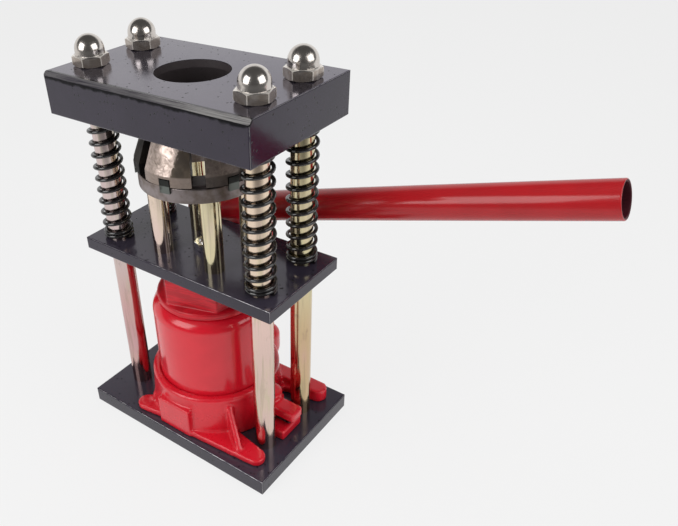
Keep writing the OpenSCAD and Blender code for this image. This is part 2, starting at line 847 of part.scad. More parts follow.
// Bosses behind the skirt for the pump barrel and the fulcrum post
module pump_boss() {
    r = pump_boss_d / 2;
    translate([pump_x, pump_y, 0]) rotate_extrude() {
        rim_section(r, base_top + pump_boss_flare_h, pump_boss_top, pump_boss_rim);
        polygon([[0, base_top], [pump_boss_foot_d / 2, base_top], [r, base_top + pump_boss_flare_h],
            [0, base_top + pump_boss_flare_h]]);
    }
    translate([0, 0, base_top]) linear_extrude(fulcrum_pad_h)
        tangent_bar([fulcrum_x / 2, pump_y / 2], fulcrum_pad_d / 2, [fulcrum_x, pump_y], fulcrum_pad_d / 2);
    translate([0, 0, base_top]) linear_extrude(pump_web_h)
        tangent_bar([0, 0], pump_boss_d / 2, [pump_x, pump_y], barrel_d / 2);
}

// Bar from the skirt outwards, with round corners in plan
module valve_bar(x0, x1, y, w, r, h) {
    translate([(x0 + x1) / 2, y, base_top]) linear_extrude(h) rounded_rect(x1 - x0, w, r);
}

// Valve block on the +X side: a plate and a lug over it, with a slot between for the release screw's head
module valve_block() {
    root_x = skirt_d / 2 - valve_block_sink;
    slot_x = valve_block_x - valve_slot_l;
    difference() {
        union() {
            valve_bar(root_x, valve_block_x, valve_y, valve_block_w, valve_block_r, valve_plate_h);
            valve_bar(root_x, slot_x, valve_y, valve_block_w, valve_block_r, valve_block_h);
            translate([0, 0, valve_plate_h])
                valve_bar(root_x, valve_lug_x, valve_y, valve_lug_w, valve_lug_r, valve_lug_h - valve_plate_h);
            translate([skirt_d / 2, valve_y + valve_hump_y, base_top])
                cylinder(d = valve_hump_d, h = valve_block_h + valve_hump_h);
        }
        translate([slot_x, valve_y - valve_block_w, valve_z - valve_slot_h / 2])
            cube([valve_block_w, 2 * valve_block_w, valve_slot_h]);
    }
}

module jack_screws() {
    seat = head_h(jack_screw_d) + head_sink;
    color(oxide_colour)
    at_jack_screws() translate([0, 0, seat]) socket_screw(jack_screw_d, base_t - seat + jack_screw_bite);
}

// Places children on the filler neck's axis, z outwards from the tank's wall
module at_filler() {
    rotate([0, 0, filler_angle]) translate([tank_d / 2, 0, filler_z]) rotate([0, 90, 0]) children();
}

// Oil tank: a tube with a rounded shoulder, open at the foot, with a filler neck behind
module oil_tank() {
    r = tank_d / 2;
    color(red_colour)
    difference() {
        union() {
            rotate_extrude() difference() {
                rim_section(r, tank_foot, tank_top_z, tank_shoulder_r);
                rim_section(r - tank_wall, tank_foot - over, tank_top_z - tank_wall,
                    tank_shoulder_r - tank_wall);
                square([nut_skirt_d / 2 + seat_play, 2 * tank_top_z]);
            }
            at_filler() translate([0, 0, -filler_neck_root])
                cylinder(d = filler_neck_d, h = filler_neck_root + filler_neck_h);
        }
        at_filler() translate([0, 0, -2 * tank_wall]) cylinder(d = filler_d, h = 4 * tank_wall);
    }
}

module tank_gasket() {
    color(rubber_colour)
    translate([0, 0, tank_seat_z]) difference() {
        cylinder(d = tank_d, h = gasket_t);
        translate([0, 0, -over]) cylinder(d = tank_d - 2 * tank_wall, h = gasket_t + 2 * over);
    }
}

module filler_plug() {
    color(rubber_colour)
    at_filler() {
        translate([0, 0, -tank_wall])
            cylinder(d = filler_d - 2 * pin_fit, h = tank_wall + filler_neck_h + over);
        translate([0, 0, filler_neck_h]) cylinder(d = filler_neck_d - 1, h = filler_head_t);
    }
}

module pressure_cylinder() {
    color(steel_colour)
    translate([0, 0, cylinder_floor_z]) difference() {
        cylinder(d = cylinder_od, h = cylinder_top_z - cylinder_floor_z);
        translate([0, 0, -over]) cylinder(d = cylinder_bore, h = cylinder_top_z);
    }
}

// Hexagonal nut that clamps the tank onto the base and guides the ram
module tank_nut() {
    slim = tank_nut_af + nut_corner_cut;
    color(red_colour)
    difference() {
        union() {
            intersection() {
                translate([0, 0, nut_hex_z]) rotate([0, 0, tank_nut_turn]) hexagon(tank_nut_af, tank_nut_h);
                translate([0, 0, nut_hex_z])
                    cylinder(d1 = slim + 4 * tank_nut_h, d2 = slim, h = tank_nut_h);
            }
            rotate_extrude() rim_section(tank_flange_d / 2, tank_top_z, nut_hex_z + nut_root, nut_rim_r);
            translate([0, 0, nut_skirt_z]) cylinder(d = nut_skirt_d, h = nut_hex_z - nut_skirt_z);
        }
        translate([0, 0, nut_skirt_z - over])
            cylinder(d = cylinder_od + 2 * seat_play, h = cylinder_top_z - nut_skirt_z + over);
        cylinder(d = ram_d + 2 * slide_fit, h = nut_top_z + over);
        translate([0, 0, nut_top_z - wiper_h]) cylinder(d = ram_d + 2 * wiper_w, h = wiper_h + over);
    }
}

module ram_wiper() {
    color(rubber_colour)
    translate([0, 0, nut_top_z - wiper_h]) difference() {
        cylinder(d = ram_d + 2 * wiper_w - 2 * pin_fit, h = wiper_h);
        translate([0, 0, -over]) cylinder(d = ram_d + 2 * slide_fit, h = wiper_h + 2 * over);
    }
}

// Release screw: turned out, it lets the oil run back into the tank
module release_screw() {
    tip_x = valve_seat_x + release_ball_d;
    head_x = valve_block_x - valve_slot_l;
    head_l = valve_slot_l - release_head_inset;
    color(oxide_colour)
    translate([0, valve_y, valve_z]) difference() {
        union() {
            translate([tip_x, 0, 0]) rotate([0, 90, 0]) cylinder(d = release_d, h = head_x - tip_x + over);
            translate([head_x, 0, 0]) rotate([0, 90, 0]) cylinder(d = release_head_d, h = head_l);
        }
        translate([head_x + head_l - release_slot_depth, -release_head_d, -release_slot_w / 2])
            cube([release_slot_depth + over, 2 * release_head_d, release_slot_w]);
    }
}

// Height of a ball's centre over the rim of the hole it closes
function ball_seat(ball_d, hole_d) = sqrt(pow(ball_d / 2, 2) - pow(hole_d / 2, 2)) + ball_lift;

module release_ball() {
    color(steel_colour)
    translate([valve_seat_x + ball_seat(release_ball_d, release_way_d), valve_y, valve_z])
        sphere(d = release_ball_d);
}

module check_ball() {
    color(steel_colour)
    translate([pump_x, pump_y, check_seat_z + ball_seat(check_ball_d, oil_riser_d)]) sphere(d = check_ball_d);
}

module pump_barrel() {
    color(red_colour)
    translate([pump_x, pump_y, 0]) difference() {
        union() {
            translate([0, 0, barrel_seat_z]) cylinder(d = barrel_d, h = barrel_top_z - barrel_seat_z);
            translate([0, 0, pump_boss_top]) hexagon(barrel_hex_af, barrel_hex_h);
        }
        translate([0, 0, barrel_seat_z - over])
            cylinder(d = plunger_d + 2 * slide_fit, h = barrel_top_z - barrel_seat_z + 2 * over);
        translate([0, 0, barrel_top_z - pump_seal_h])
            cylinder(d = plunger_d + 2 * pump_seal_w + 2 * pin_fit, h = pump_seal_h + over);
    }
}

module pump_seal() {
    color(rubber_colour)
    translate([pump_x, pump_y, barrel_top_z - pump_seal_h]) difference() {
        cylinder(d = plunger_d + 2 * pump_seal_w, h = pump_seal_h);
        translate([0, 0, -over]) cylinder(d = plunger_d + 2 * slide_fit, h = pump_seal_h + 2 * over);
    }
}

// Pump plunger with a flat head whose slot lets the lever's pin walk sideways
module pump_plunger() {
    head_z = lever_pin_z - plunger_head_h / 2;
    slot_r = pin_d / 2 + slot_play;
    color(nickel_colour)
    translate([pump_x, pump_y, 0]) {
        translate([0, 0, plunger_foot_z]) cylinder(d = plunger_d, h = head_z - plunger_foot_z + over);
        translate([0, eye_w / 2, lever_pin_z]) rotate([90, 0, 0]) linear_extrude(eye_w) difference() {
            translate([plunger_head_shift, 0]) rounded_rect(plunger_head_w, plunger_head_h, plunger_head_r);
            tangent_bar([-pin_walk, 0], slot_r, [0, 0], slot_r);
        }
    }
}

// Fulcrum of the lever: an eye bolt that stands in the cast base
module fulcrum_post() {
    pad_z = base_top + fulcrum_pad_h;
    color(red_colour)
    translate([fulcrum_x, pump_y, 0]) difference() {
        union() {
            translate([0, 0, pad_z - fulcrum_stud_l]) cylinder(d = fulcrum_stud_d, h = fulcrum_stud_l + over);
            translate([0, 0, pad_z]) hexagon(fulcrum_hex_af, fulcrum_hex_h);
            translate([0, 0, pad_z]) cylinder(d = post_shank_d, h = lever_pin_z - pad_z - eye_r / 2);
            translate([0, eye_w / 2, lever_pin_z]) rotate([90, 0, 0]) cylinder(r = eye_r, h = eye_w);
        }
        translate([0, eye_w, lever_pin_z]) rotate([90, 0, 0])
            cylinder(d = pin_d + 2 * pin_fit, h = 2 * eye_w);
        for (side = [-1, 1]) translate([-eye_r, side * eye_w - eye_w / 2, lever_pin_z - 2 * eye_r])
            cube([2 * eye_r, eye_w, 4 * eye_r]);
    }
}

// Places children in the lever's upright plane: x along the handle from above the fulcrum, y upwards
module in_lever_plane() {
    translate([fulcrum_x, pump_y, lever_pin_z]) rotate([90, 0, 0]) children();
}

// Point of the handle's axis at a distance along it, in the lever's plane
function handle_point(s) = s * [cos(handle_tilt), sin(handle_tilt)]
    + handle_rise * [-sin(handle_tilt), cos(handle_tilt)];

module along_handle(s) {
    p = handle_point(s);
    translate([fulcrum_x + p[0], pump_y, lever_pin_z + p[1]]) rotate([0, 90 - handle_tilt, 0]) children();
}

// Socket of the lever: a tube on two cheeks that carry the fulcrum pin and the plunger's pin
module handle_socket() {
    shoulder_r = socket_od / 2 - socket_shoulder;
    arm = [lever_arm, 0];
    arm_above = lever_arm * cos(handle_tilt);
    color(red_colour)
    difference() {
        union() {
            along_handle(-socket_behind) cylinder(d = socket_od, h = socket_l);
            for (side = [-1, 1])
                translate([0, side * (cheek_gap + cheek_t) / 2 + cheek_t / 2, 0])
                in_lever_plane() linear_extrude(cheek_t) {
                    tangent_bar([0, 0], eye_r, arm, eye_r);
                    tangent_bar([0, 0], eye_r, handle_point(0), shoulder_r);
                    tangent_bar(arm, eye_r, handle_point(arm_above), shoulder_r);
                    polygon([[0, 0], arm, handle_point(arm_above), handle_point(0)]);
                }
        }
        along_handle(-socket_behind + socket_end_t) cylinder(d = socket_bore, h = socket_l);
        for (x = [0, lever_arm])
            translate([fulcrum_x + x, pump_y + lever_w, lever_pin_z]) rotate([90, 0, 0])
                cylinder(d = pin_d + 2 * pin_fit, h = 2 * lever_w);
    }
}

module handle_tube() {
    color(handle_colour)
    along_handle(-socket_behind + socket_end_t) difference() {
        cylinder(d = handle_d, h = handle_l);
        translate([0, 0, -over]) cylinder(d = handle_d - 2 * handle_wall, h = handle_l + 2 * over);
    }
}

// Lever pin with a groove for a clip at each end
module lever_pin(x) {
    reach = lever_w / 2 + pin_end;
    color(nickel_colour)
    translate([x, pump_y + reach, lever_pin_z]) rotate([90, 0, 0]) difference() {
        cylinder(d = pin_d, h = 2 * reach);
        for (z = [pin_end - clip_t - clip_play, 2 * reach - pin_end]) translate([0, 0, z]) difference() {
            cylinder(d = pin_d + 2, h = clip_t + clip_play);
            translate([0, 0, -over]) cylinder(d = clip_groove_d, h = clip_t + 3 * over);
        }
    }
}

// Open spring clips in the grooves of both lever pins
module pin_clips() {
    color(oxide_colour)
    for (x = [fulcrum_x, pump_x], side = [-1, 1])
        translate([x, pump_y + side * (lever_w + clip_t) / 2 + clip_t / 2, lever_pin_z])
        rotate([90, clip_mouth / 2 - 90, 0]) rotate_extrude(angle = 360 - clip_mouth)
            translate([clip_groove_d / 2 + clip_play, 0]) square([(clip_d - clip_groove_d) / 2, clip_t]);
}

base_plate();
column(-1, -1);  // column_front_left
column(1, -1);  // column_front_right
column(-1, 1);  // column_back_left
column(1, 1);  // column_back_right
column_screws();
top_plate();
cap_nuts();
spring(-1, -1);  // spring_front_left
spring(1, -1);  // spring_front_right
spring(-1, 1);  // spring_back_left
spring(1, 1);  // spring_back_right
sliding_table();
ram_nut();
post(-1, -1);  // post_front_left
post(1, -1);  // post_front_right
post(-1, 1);  // post_back_left
post(1, 1);  // post_back_right
post_lower_screws();
post_upper_screws();
die_ring();
die_keepers();
die(1);  // die_1
die(2);  // die_2
die(3);  // die_3
die(4);  // die_4
die(5);  // die_5
die(6);  // die_6
ram();
piston_seal();
jack_base();
jack_screws();
oil_tank();
tank_gasket();
filler_plug();
pressure_cylinder();
tank_nut();
ram_wiper();
release_screw();
release_ball();
check_ball();
pump_barrel();
pump_seal();
pump_plunger();
fulcrum_post();
handle_socket();
handle_tube();
lever_pin(fulcrum_x);  // fulcrum_pin
lever_pin(pump_x);  // plunger_pin
pin_clips();
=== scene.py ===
"""Looks of a hose crimping press: finishes, smooth springs, softened castings and a studio."""

import logging
import math
from dataclasses import dataclass
from enum import Enum
from typing import Dict, List, Optional, Tuple, Union

import bmesh
import bpy
from mathutils import Matrix, Vector


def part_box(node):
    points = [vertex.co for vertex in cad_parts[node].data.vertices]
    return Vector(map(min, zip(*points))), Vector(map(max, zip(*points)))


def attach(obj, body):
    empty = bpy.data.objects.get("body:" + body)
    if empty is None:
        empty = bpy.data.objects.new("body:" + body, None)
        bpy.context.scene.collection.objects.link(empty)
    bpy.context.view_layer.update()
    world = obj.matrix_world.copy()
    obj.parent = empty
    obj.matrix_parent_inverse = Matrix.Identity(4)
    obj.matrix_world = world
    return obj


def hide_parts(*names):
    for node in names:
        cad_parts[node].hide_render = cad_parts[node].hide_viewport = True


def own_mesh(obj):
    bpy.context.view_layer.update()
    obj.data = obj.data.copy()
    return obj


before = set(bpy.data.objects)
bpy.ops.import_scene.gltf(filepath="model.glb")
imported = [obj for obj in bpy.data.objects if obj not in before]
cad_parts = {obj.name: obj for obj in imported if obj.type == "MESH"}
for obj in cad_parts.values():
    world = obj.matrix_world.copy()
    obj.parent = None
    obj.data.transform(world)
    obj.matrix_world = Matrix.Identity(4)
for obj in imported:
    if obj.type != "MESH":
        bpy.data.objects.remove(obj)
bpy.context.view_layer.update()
LOG = logging.getLogger("hose_press")

Colour = Tuple[float, float, float]
Triple = Tuple[float, float, float]
Span = Tuple[float, float]
Scalar = Union["Field", float]
Socket = bpy.types.NodeSocket
Material = bpy.types.Material
Piece = bpy.types.Object

MM = 0.001
WELD_GAP = 0.001 * MM
EVEN: Triple = (1.0, 1.0, 1.0)
UNMOVED: Triple = (0.0, 0.0, 0.0)
WHITE: Colour = (1.0, 1.0, 1.0)
UP: Triple = (0, 0, 1)
CENTRE: Triple = (0, 0, 0)


class Slot(Enum):
    """Material slots of the record."""

    SPRING = "spring_black"
    JACK = "jack_red"
    HANDLE = "handle_red"


class Body(Enum):
    """Bodies that new pieces ride on."""

    FRAME = "frame"
    LEVER = "lever"


class Field:
    """A scalar socket of a node tree; arithmetic on it adds Math nodes."""

    def __init__(self, tree: "Tree", socket: Socket) -> None:
        """Keeps the tree that owns the socket."""
        self.tree = tree
        self.socket = socket

    def _math(self, operation: str, first: Scalar, second: Scalar = 0.0) -> "Field":
        """Output of one Math node; operations of one operand leave the second unused."""
        node = self.tree.node("ShaderNodeMath", {0: first, 1: second}, operation=operation)
        return Field(self.tree, node.outputs[0])

    def __add__(self, other: Scalar) -> "Field":
        """Sum."""
        return self._math("ADD", self, other)

    __radd__ = __add__

    def __sub__(self, other: Scalar) -> "Field":
        """Difference."""
        return self._math("SUBTRACT", self, other)

    def __rsub__(self, other: Scalar) -> "Field":
        """Difference from a number on the left."""
        return self._math("SUBTRACT", other, self)

    def __mul__(self, other: Scalar) -> "Field":
        """Product."""
        return self._math("MULTIPLY", self, other)

    __rmul__ = __mul__

    def __abs__(self) -> "Field":
        """Absolute value."""
        return self._math("ABSOLUTE", self)

    def root(self) -> "Field":
        """Square root."""
        return self._math("SQRT", self)

    def sine(self) -> "Field":
        """Sine of the value in radians."""
        return self._math("SINE", self)

    def cosine(self) -> "Field":
        """Cosine of the value in radians."""
        return self._math("COSINE", self)

    def sign(self) -> "Field":
        """-1, 0 or 1."""
        return self._math("SIGN", self)

    def bearing(self, across: "Field") -> "Field":
        """Angle in radians of the point with this height over that distance."""
        return self._math("ARCTAN2", self, across)

    def fold(self, half: float) -> "Field":
        """Distance to the nearest even multiple of half."""
        return self._math("PINGPONG", self, half)

    def least(self, other: Scalar) -> "Field":
        """Smaller of two values."""
        return self._math("MINIMUM", self, other)

    def most(self, other: Scalar) -> "Field":
        """Larger of two values."""
        return self._math("MAXIMUM", self, other)

    def rise(self, low: float, high: float) -> "Field":
        """Smooth step.

        Args:
            low: Value at which the result is 0.
            high: Value at which the result is 1; below low for a falling step.

        Returns:
            A value from 0 to 1.
        """
        if low > high:
            return 1.0 - self.rise(high, low)
        inputs = {0: self, 1: low, 2: high, 3: 0.0, 4: 1.0}
        node = self.tree.node("ShaderNodeMapRange", inputs, interpolation_type="SMOOTHSTEP")
        return Field(self.tree, node.outputs[0])


class Tree:
    """Node tree of a material or a world, emptied first."""

    def __init__(self, owner: Union[Material, bpy.types.World]) -> None:
        """Clears the owner's nodes.

        Args:
            owner: The material or world.
        """
        owner.use_nodes = True
        self.nodes = owner.node_tree.nodes
        self.links = owner.node_tree.links
        self.nodes.clear()

    def node(self, kind: str, inputs: Optional[dict] = None, **settings: str) -> bpy.types.Node:
        """Adds a node.

        Args:
            kind: Type of the node.
            inputs: Values, fields or sockets by the input's name or number.
            **settings: Attributes, set before the inputs.

        Returns:
            The new node.
        """
        made = self.nodes.new(kind)
        for key, value in settings.items():
            setattr(made, key, value)
        for key, value in (inputs or {}).items():
            self.feed(made.inputs[key], value)
        return made

    def feed(self, target: Socket, value: object) -> None:
        """Sets one input.

        Args:
            target: The input.
            value: A number, a tuple, a field or a socket.
        """
        if isinstance(value, Field):
            value = value.socket
        if isinstance(value, Socket):
            self.links.new(value, target)
        elif isinstance(value, tuple) and target.type == "RGBA":
            target.default_value = (*value, 1.0)
        else:
            target.default_value = value

    def space(self, kind: str = "Object") -> Socket:
        """Coordinates of one kind."""
        return self.node("ShaderNodeTexCoord").outputs[kind]

    def split(self, vector: Socket) -> Tuple[Field, Field, Field]:
        """The x, y and z of a vector."""
        parts = self.node("ShaderNodeSeparateXYZ", {0: vector}).outputs
        return Field(self, parts[0]), Field(self, parts[1]), Field(self, parts[2])

    def ray(self, kind: str) -> Field:
        """1 for rays of one kind, 0 for others."""
        return Field(self, self.node("ShaderNodeLightPath").outputs[kind])

    def seen(self) -> Field:
        """1 for rays from the camera, a mirror or a lens, 0 for rays that light the object."""
        mirrored = self.ray("Is Camera Ray").most(self.ray("Is Glossy Ray"))
        return mirrored.most(self.ray("Is Transmission Ray"))


@dataclass(frozen=True)
class Pattern:
    """One kind of noise: size of its patches in metres, octaves, run, offset and curls."""

    size: float
    detail: float = 2.0
    stretch: Triple = EVEN
    shift: Triple = UNMOVED
    swirl: float = 0.0


class Shader(Tree):
    """One material with a Principled shader, and the nodes that feed it."""

    MIX_A, MIX_B, MIX_OUT = 6, 7, 2
    OCTAVE_SHARE = 0.55

    def __init__(self, name: str) -> None:
        """Makes a material with a Principled shader.

        Args:
            name: Name of the material.
        """
        self.material = bpy.data.materials.new(name)
        super().__init__(self.material)
        self.bsdf = self.node("ShaderNodeBsdfPrincipled")
        self.node("ShaderNodeOutputMaterial", {"Surface": self.bsdf.outputs[0]})
        self.object_space = self.space()

    def dress(self, **inputs: object) -> Material:
        """Sets inputs of the Principled shader.

        Args:
            **inputs: Values or links by input name, with _ for a blank.

        Returns:
            The finished material.
        """
        for key, value in inputs.items():
            self.feed(self.bsdf.inputs[key.replace("_", " ")], value)
        return self.material

    def axes(self) -> Tuple[Field, Field, Field]:
        """The three object coordinates, in metres."""
        return self.split(self.object_space)

    def place(self, pattern: Pattern) -> Socket:
        """Object coordinates, stretched and shifted as a pattern asks."""
        inputs = {"Vector": self.object_space, "Location": pattern.shift, "Scale": pattern.stretch}
        return self.node("ShaderNodeMapping", inputs).outputs[0]

    def noise(self, pattern: Pattern) -> Field:
        """Cloudy noise from 0 to 1.

        Args:
            pattern: Its size and run.

        Returns:
            The noise.
        """
        inputs = {
            "Vector": self.place(pattern),
            "Scale": 1.0 / pattern.size,
            "Detail": pattern.detail,
            "Roughness": self.OCTAVE_SHARE,
            "Distortion": pattern.swirl,
        }
        node = self.node("ShaderNodeTexNoise", inputs, noise_dimensions="3D")
        return Field(self, node.outputs[0])

    def cells(self, pattern: Pattern) -> Tuple[Field, Field]:
        """Scattered points.

        Args:
            pattern: Its size is the mean distance of the points.

        Returns:
            Distance to the nearest point in units of size, and a random number per point.
        """
        inputs = {"Vector": self.place(pattern), "Scale": 1.0 / pattern.size}
        node = self.node("ShaderNodeTexVoronoi", inputs)
        split = self.node("ShaderNodeSeparateColor", {0: node.outputs["Color"]})
        return Field(self, node.outputs["Distance"]), Field(self, split.outputs[0])

    def mix(self, factor: Scalar, first: object, second: object, blend: str = "MIX") -> Socket:
        """Blend of two colours.

        Args:
            factor: Share of the second colour.
            first: Colour or colour socket.
            second: Colour or colour socket.
            blend: Name of the blend.

        Returns:
            The blended colour.
        """
        inputs = {0: factor, self.MIX_A: first, self.MIX_B: second}
        node = self.node("ShaderNodeMix", inputs, data_type="RGBA", blend_type=blend)
        return node.outputs[self.MIX_OUT]

    def tint(self, colour: object, tone: Colour) -> Socket:
        """Product of a colour and a tone."""
        return self.mix(1.0, colour, tone, "MULTIPLY")

    def bump(self, height: Field, depth: float, under: Optional[Socket] = None) -> Socket:
        """Bump from a height field.

        Args:
            height: Height from 0 to 1.
            depth: Depth in metres of a height of 1.
            under: Normal of a bump that lies under this one.

        Returns:
            The normal.
        """
        inputs: Dict[str, object] = {"Strength": 1.0, "Distance": depth, "Height": height}
        if under is not None:
            inputs["Normal"] = under
        return self.node("ShaderNodeBump", inputs).outputs[0]


@dataclass(frozen=True)
class BlackPlate:
    """Glossy black steel plate with pin holes, grinding lines and worn edges with a painted
    highlight.

    sheen is how far the upper face is ground bright. A chamfer along the upper front edge is
    scraped, with a ragged dark band under it.
    """

    name: str
    low: Triple
    high: Triple
    sheen: float
    chamfer: float = 0.0
    black: Colour = (0.0125, 0.0085, 0.0195)
    grey: Colour = (0.019, 0.0135, 0.0275)
    ground: Colour = (0.172, 0.156, 0.192)
    shaded: Colour = (0.136, 0.122, 0.162)
    # Colour of the hairline edges: worn bare steel, and also a painted highlight on their rounding.
    bared: Colour = (0.46, 0.445, 0.45)
    scraped: Colour = (0.25, 0.243, 0.235)
    pit: Colour = (0.006, 0.006, 0.007)
    bore_shade: Colour = (0.040, 0.031, 0.031)
    edge: float = 0.55 * MM
    bore: float = 42 * MM
    bore_fade: float = 2 * MM
    skin: Span = (0.5 * MM, 0.15 * MM)
    rim: Span = (22 * MM, 4 * MM)
    shade: Span = (-42 * MM, 12 * MM)
    front_side: Span = (0.0, -MM)
    front_strip: Span = (9 * MM, 8 * MM)
    slant_past: Span = (0.10 * MM, 0.03 * MM)
    ragged_past: Span = (3.2 * MM, 1.2 * MM)
    line_past: Span = (1.9 * MM, 1.4 * MM)
    scraped_over: Span = (-10 * MM, 70 * MM)
    raggedness: float = 5 * MM
    relief: float = 0.04 * MM
    CLOUDS = Pattern(46 * MM, 4)
    HAZE = Pattern(9 * MM, 3, shift=(3, 1, 7))
    LINES = Pattern(6 * MM, 3, stretch=(0.12, 4.0, 4.0))
    RUB = Pattern(7 * MM, 4, shift=(5, 2, 1))
    SCRATCH = Pattern(1.4 * MM, 3, stretch=(0.05, 2.0, 2.0), shift=(2, 7, 4))
    PINS = Pattern(4.4 * MM)

    def insets(self, shader: Shader) -> List[Field]:
        """Depth under the nearer end, side and flat of the plate's box."""
        sides = zip(shader.axes(), self.low, self.high)
        return [(high - low) / 2 - abs(axis - (low + high) / 2) for axis, low, high in sides]

    def under_top(self, z: Field, depths: Span) -> Field:
        """Smooth step between two depths under the upper face."""
        return z.rise(self.high[2] - depths[0], self.high[2] - depths[1])

    def past_chamfer(self, corner: Field, past: Span) -> Field:
        """Smooth step between two distances past the chamfer."""
        return corner.rise(self.chamfer + past[0], self.chamfer + past[1])

    def material(self) -> Material:
        """Builds the finish.

        Returns:
            Its material.
        """
        shader = Shader(self.name)
        clouds, haze = shader.noise(self.CLOUDS), shader.noise(self.HAZE)
        lines, rub = shader.noise(self.LINES), shader.noise(self.RUB)
        distance, pick = shader.cells(self.PINS)
        x, y, z = shader.axes()
        end, flank, flat = self.insets(shader)
        level = self.under_top(z, self.skin)
        border = end.least(flank).rise(*self.rim)
        bias = (border * 0.15 - 0.06) * level - (1.0 - level) * 0.05
        pits = distance.rise(0.22, 0.12) * (pick + clouds * 0.7 + bias).rise(0.79, 0.86)
        middle = end.least(flank).most(end.most(flank).least(flat))
        # Hairline edges: partly real wear, partly a painted highlight where the rounded edge would
        # catch the lamps.
        edge_wear_and_highlight = middle.rise(self.edge, 0.6 * self.edge) * rub.rise(0.3, 0.6)
        polish = level * (0.8 + 0.4 * haze) * self.sheen
        # Painted shade: the bore and its cone are painted a dull dark brown and made rough.
        inside = (x * x + y * y).root().rise(self.bore, self.bore - self.bore_fade)
        bore_shade_mask = inside * (1.0 - level) * self.sheen
        ground = shader.mix(y.rise(*self.shade), self.ground, self.shaded)
        colour = shader.mix(clouds.rise(0.3, 0.72) * 0.8, self.black, self.grey)
        colour = shader.mix(polish, colour, ground)
        colour = shader.mix(pits * 0.85, colour, self.pit)
        colour = shader.mix(edge_wear_and_highlight, colour, self.bared)
        colour = shader.mix(bore_shade_mask, colour, self.bore_shade)
        rough = 0.10 + 0.09 * haze.rise(0.35, 0.75) + 0.05 * lines
        rough = rough + 0.25 * pits + 0.1 * edge_wear_and_highlight + 0.5 * bore_shade_mask
        metal = polish.most(edge_wear_and_highlight * 0.8).most(pits * level)
        if self.chamfer:
            scratch = shader.noise(self.SCRATCH)
            front = y.rise(*self.front_side) * self.under_top(z, self.front_strip)
            corner = flank + flat
            slant = front * self.past_chamfer(corner, self.slant_past)
            torn = corner + (rub - 0.5) * self.raggedness
            ragged = front * self.past_chamfer(torn, self.ragged_past) * (1.0 - level)
            ragged = ragged * (1.0 - slant)
            line = front * self.past_chamfer(corner, self.line_past) * level
            bared = scratch.rise(0.25, 0.62) * (0.4 + 0.6 * x.rise(*self.scraped_over))
            colour = shader.mix(ragged * 0.9, colour, self.pit)
            colour = shader.mix(line * 0.85, colour, self.pit)
            colour = shader.mix(slant * bared, colour, self.scraped)
            metal = (metal * (1.0 - slant) + slant * 0.25).most(ragged * 0.85)
            rough = rough + slant * (0.12 + 0.2 * scratch) + ragged * 0.35
        return shader.dress(
            Base_Color=colour,
            Roughness=rough,
            Metallic=metal,
            Normal=shader.bump(lines * 0.35 + haze * 0.25 - pits, self.relief),
        )


@dataclass(frozen=True)
class YellowZinc:
    """Bright steel bar under a yellow chromate film that drifts from rose to straw and green.

    straw is the share of yellow. tone tints the bar below tone_top, and upper tints the rest.
    """

    name: str
    straw: float
    tone: Colour = WHITE
    upper: Colour = WHITE
    tone_top: float = 165 * MM
    champagne: Colour = (0.74, 0.60, 0.47)
    rose: Colour = (0.72, 0.54, 0.48)
    yellow: Colour = (0.68, 0.59, 0.37)
    green: Colour = (0.47, 0.52, 0.31)
    olive: Colour = (0.46, 0.41, 0.28)
    stained: Colour = (0.40, 0.33, 0.26)
    relief: float = 0.008 * MM
    DRIFT = Pattern(48 * MM, 2, stretch=(1, 1, 0.6))
    FILM = Pattern(19 * MM, 3, stretch=(1.6, 1.6, 0.35), shift=(4, 8, 2))
    STAIN = Pattern(7 * MM, 4, stretch=(1, 1, 0.5), shift=(1, 6, 3))
    TURNED = Pattern(1.1 * MM, 2, stretch=(0.05, 0.05, 3.0))
    STREAK = Pattern(4.5 * MM, 3, stretch=(1.0, 1.0, 0.06), shift=(3, 2, 7))

    def material(self) -> Material:
        """Builds the finish.

        Returns:
            Its material.
        """
        shader = Shader(self.name)
        drift, film = shader.noise(self.DRIFT), shader.noise(self.FILM)
        stain, turned = shader.noise(self.STAIN), shader.noise(self.TURNED)
        streak = shader.noise(self.STREAK)
        greened = (film * 0.6 + drift * 0.4).rise(0.56, 0.68) * (0.25 + 0.5 * self.straw)
        foot = shader.axes()[2].rise(self.tone_top, 0.6 * self.tone_top)
        colour = shader.mix(drift.rise(0.36, 0.6), self.champagne, self.rose)
        colour = shader.mix((film + (self.straw - 0.5)).rise(0.3, 0.72), colour, self.yellow)
        colour = shader.mix(greened, colour, self.green)
        colour = shader.mix(stain.rise(0.6, 0.76) * 0.45, colour, self.stained)
        colour = shader.mix(streak.rise(0.50, 0.66) * 0.5, colour, self.olive)
        colour = shader.mix(foot, shader.tint(colour, self.upper), shader.tint(colour, self.tone))
        return shader.dress(
            Base_Color=colour,
            Roughness=0.11 + 0.07 * turned + 0.12 * stain.rise(0.5, 0.8),
            Metallic=1.0,
            Normal=shader.bump(turned * 0.6 + stain * 0.4, self.relief),
        )


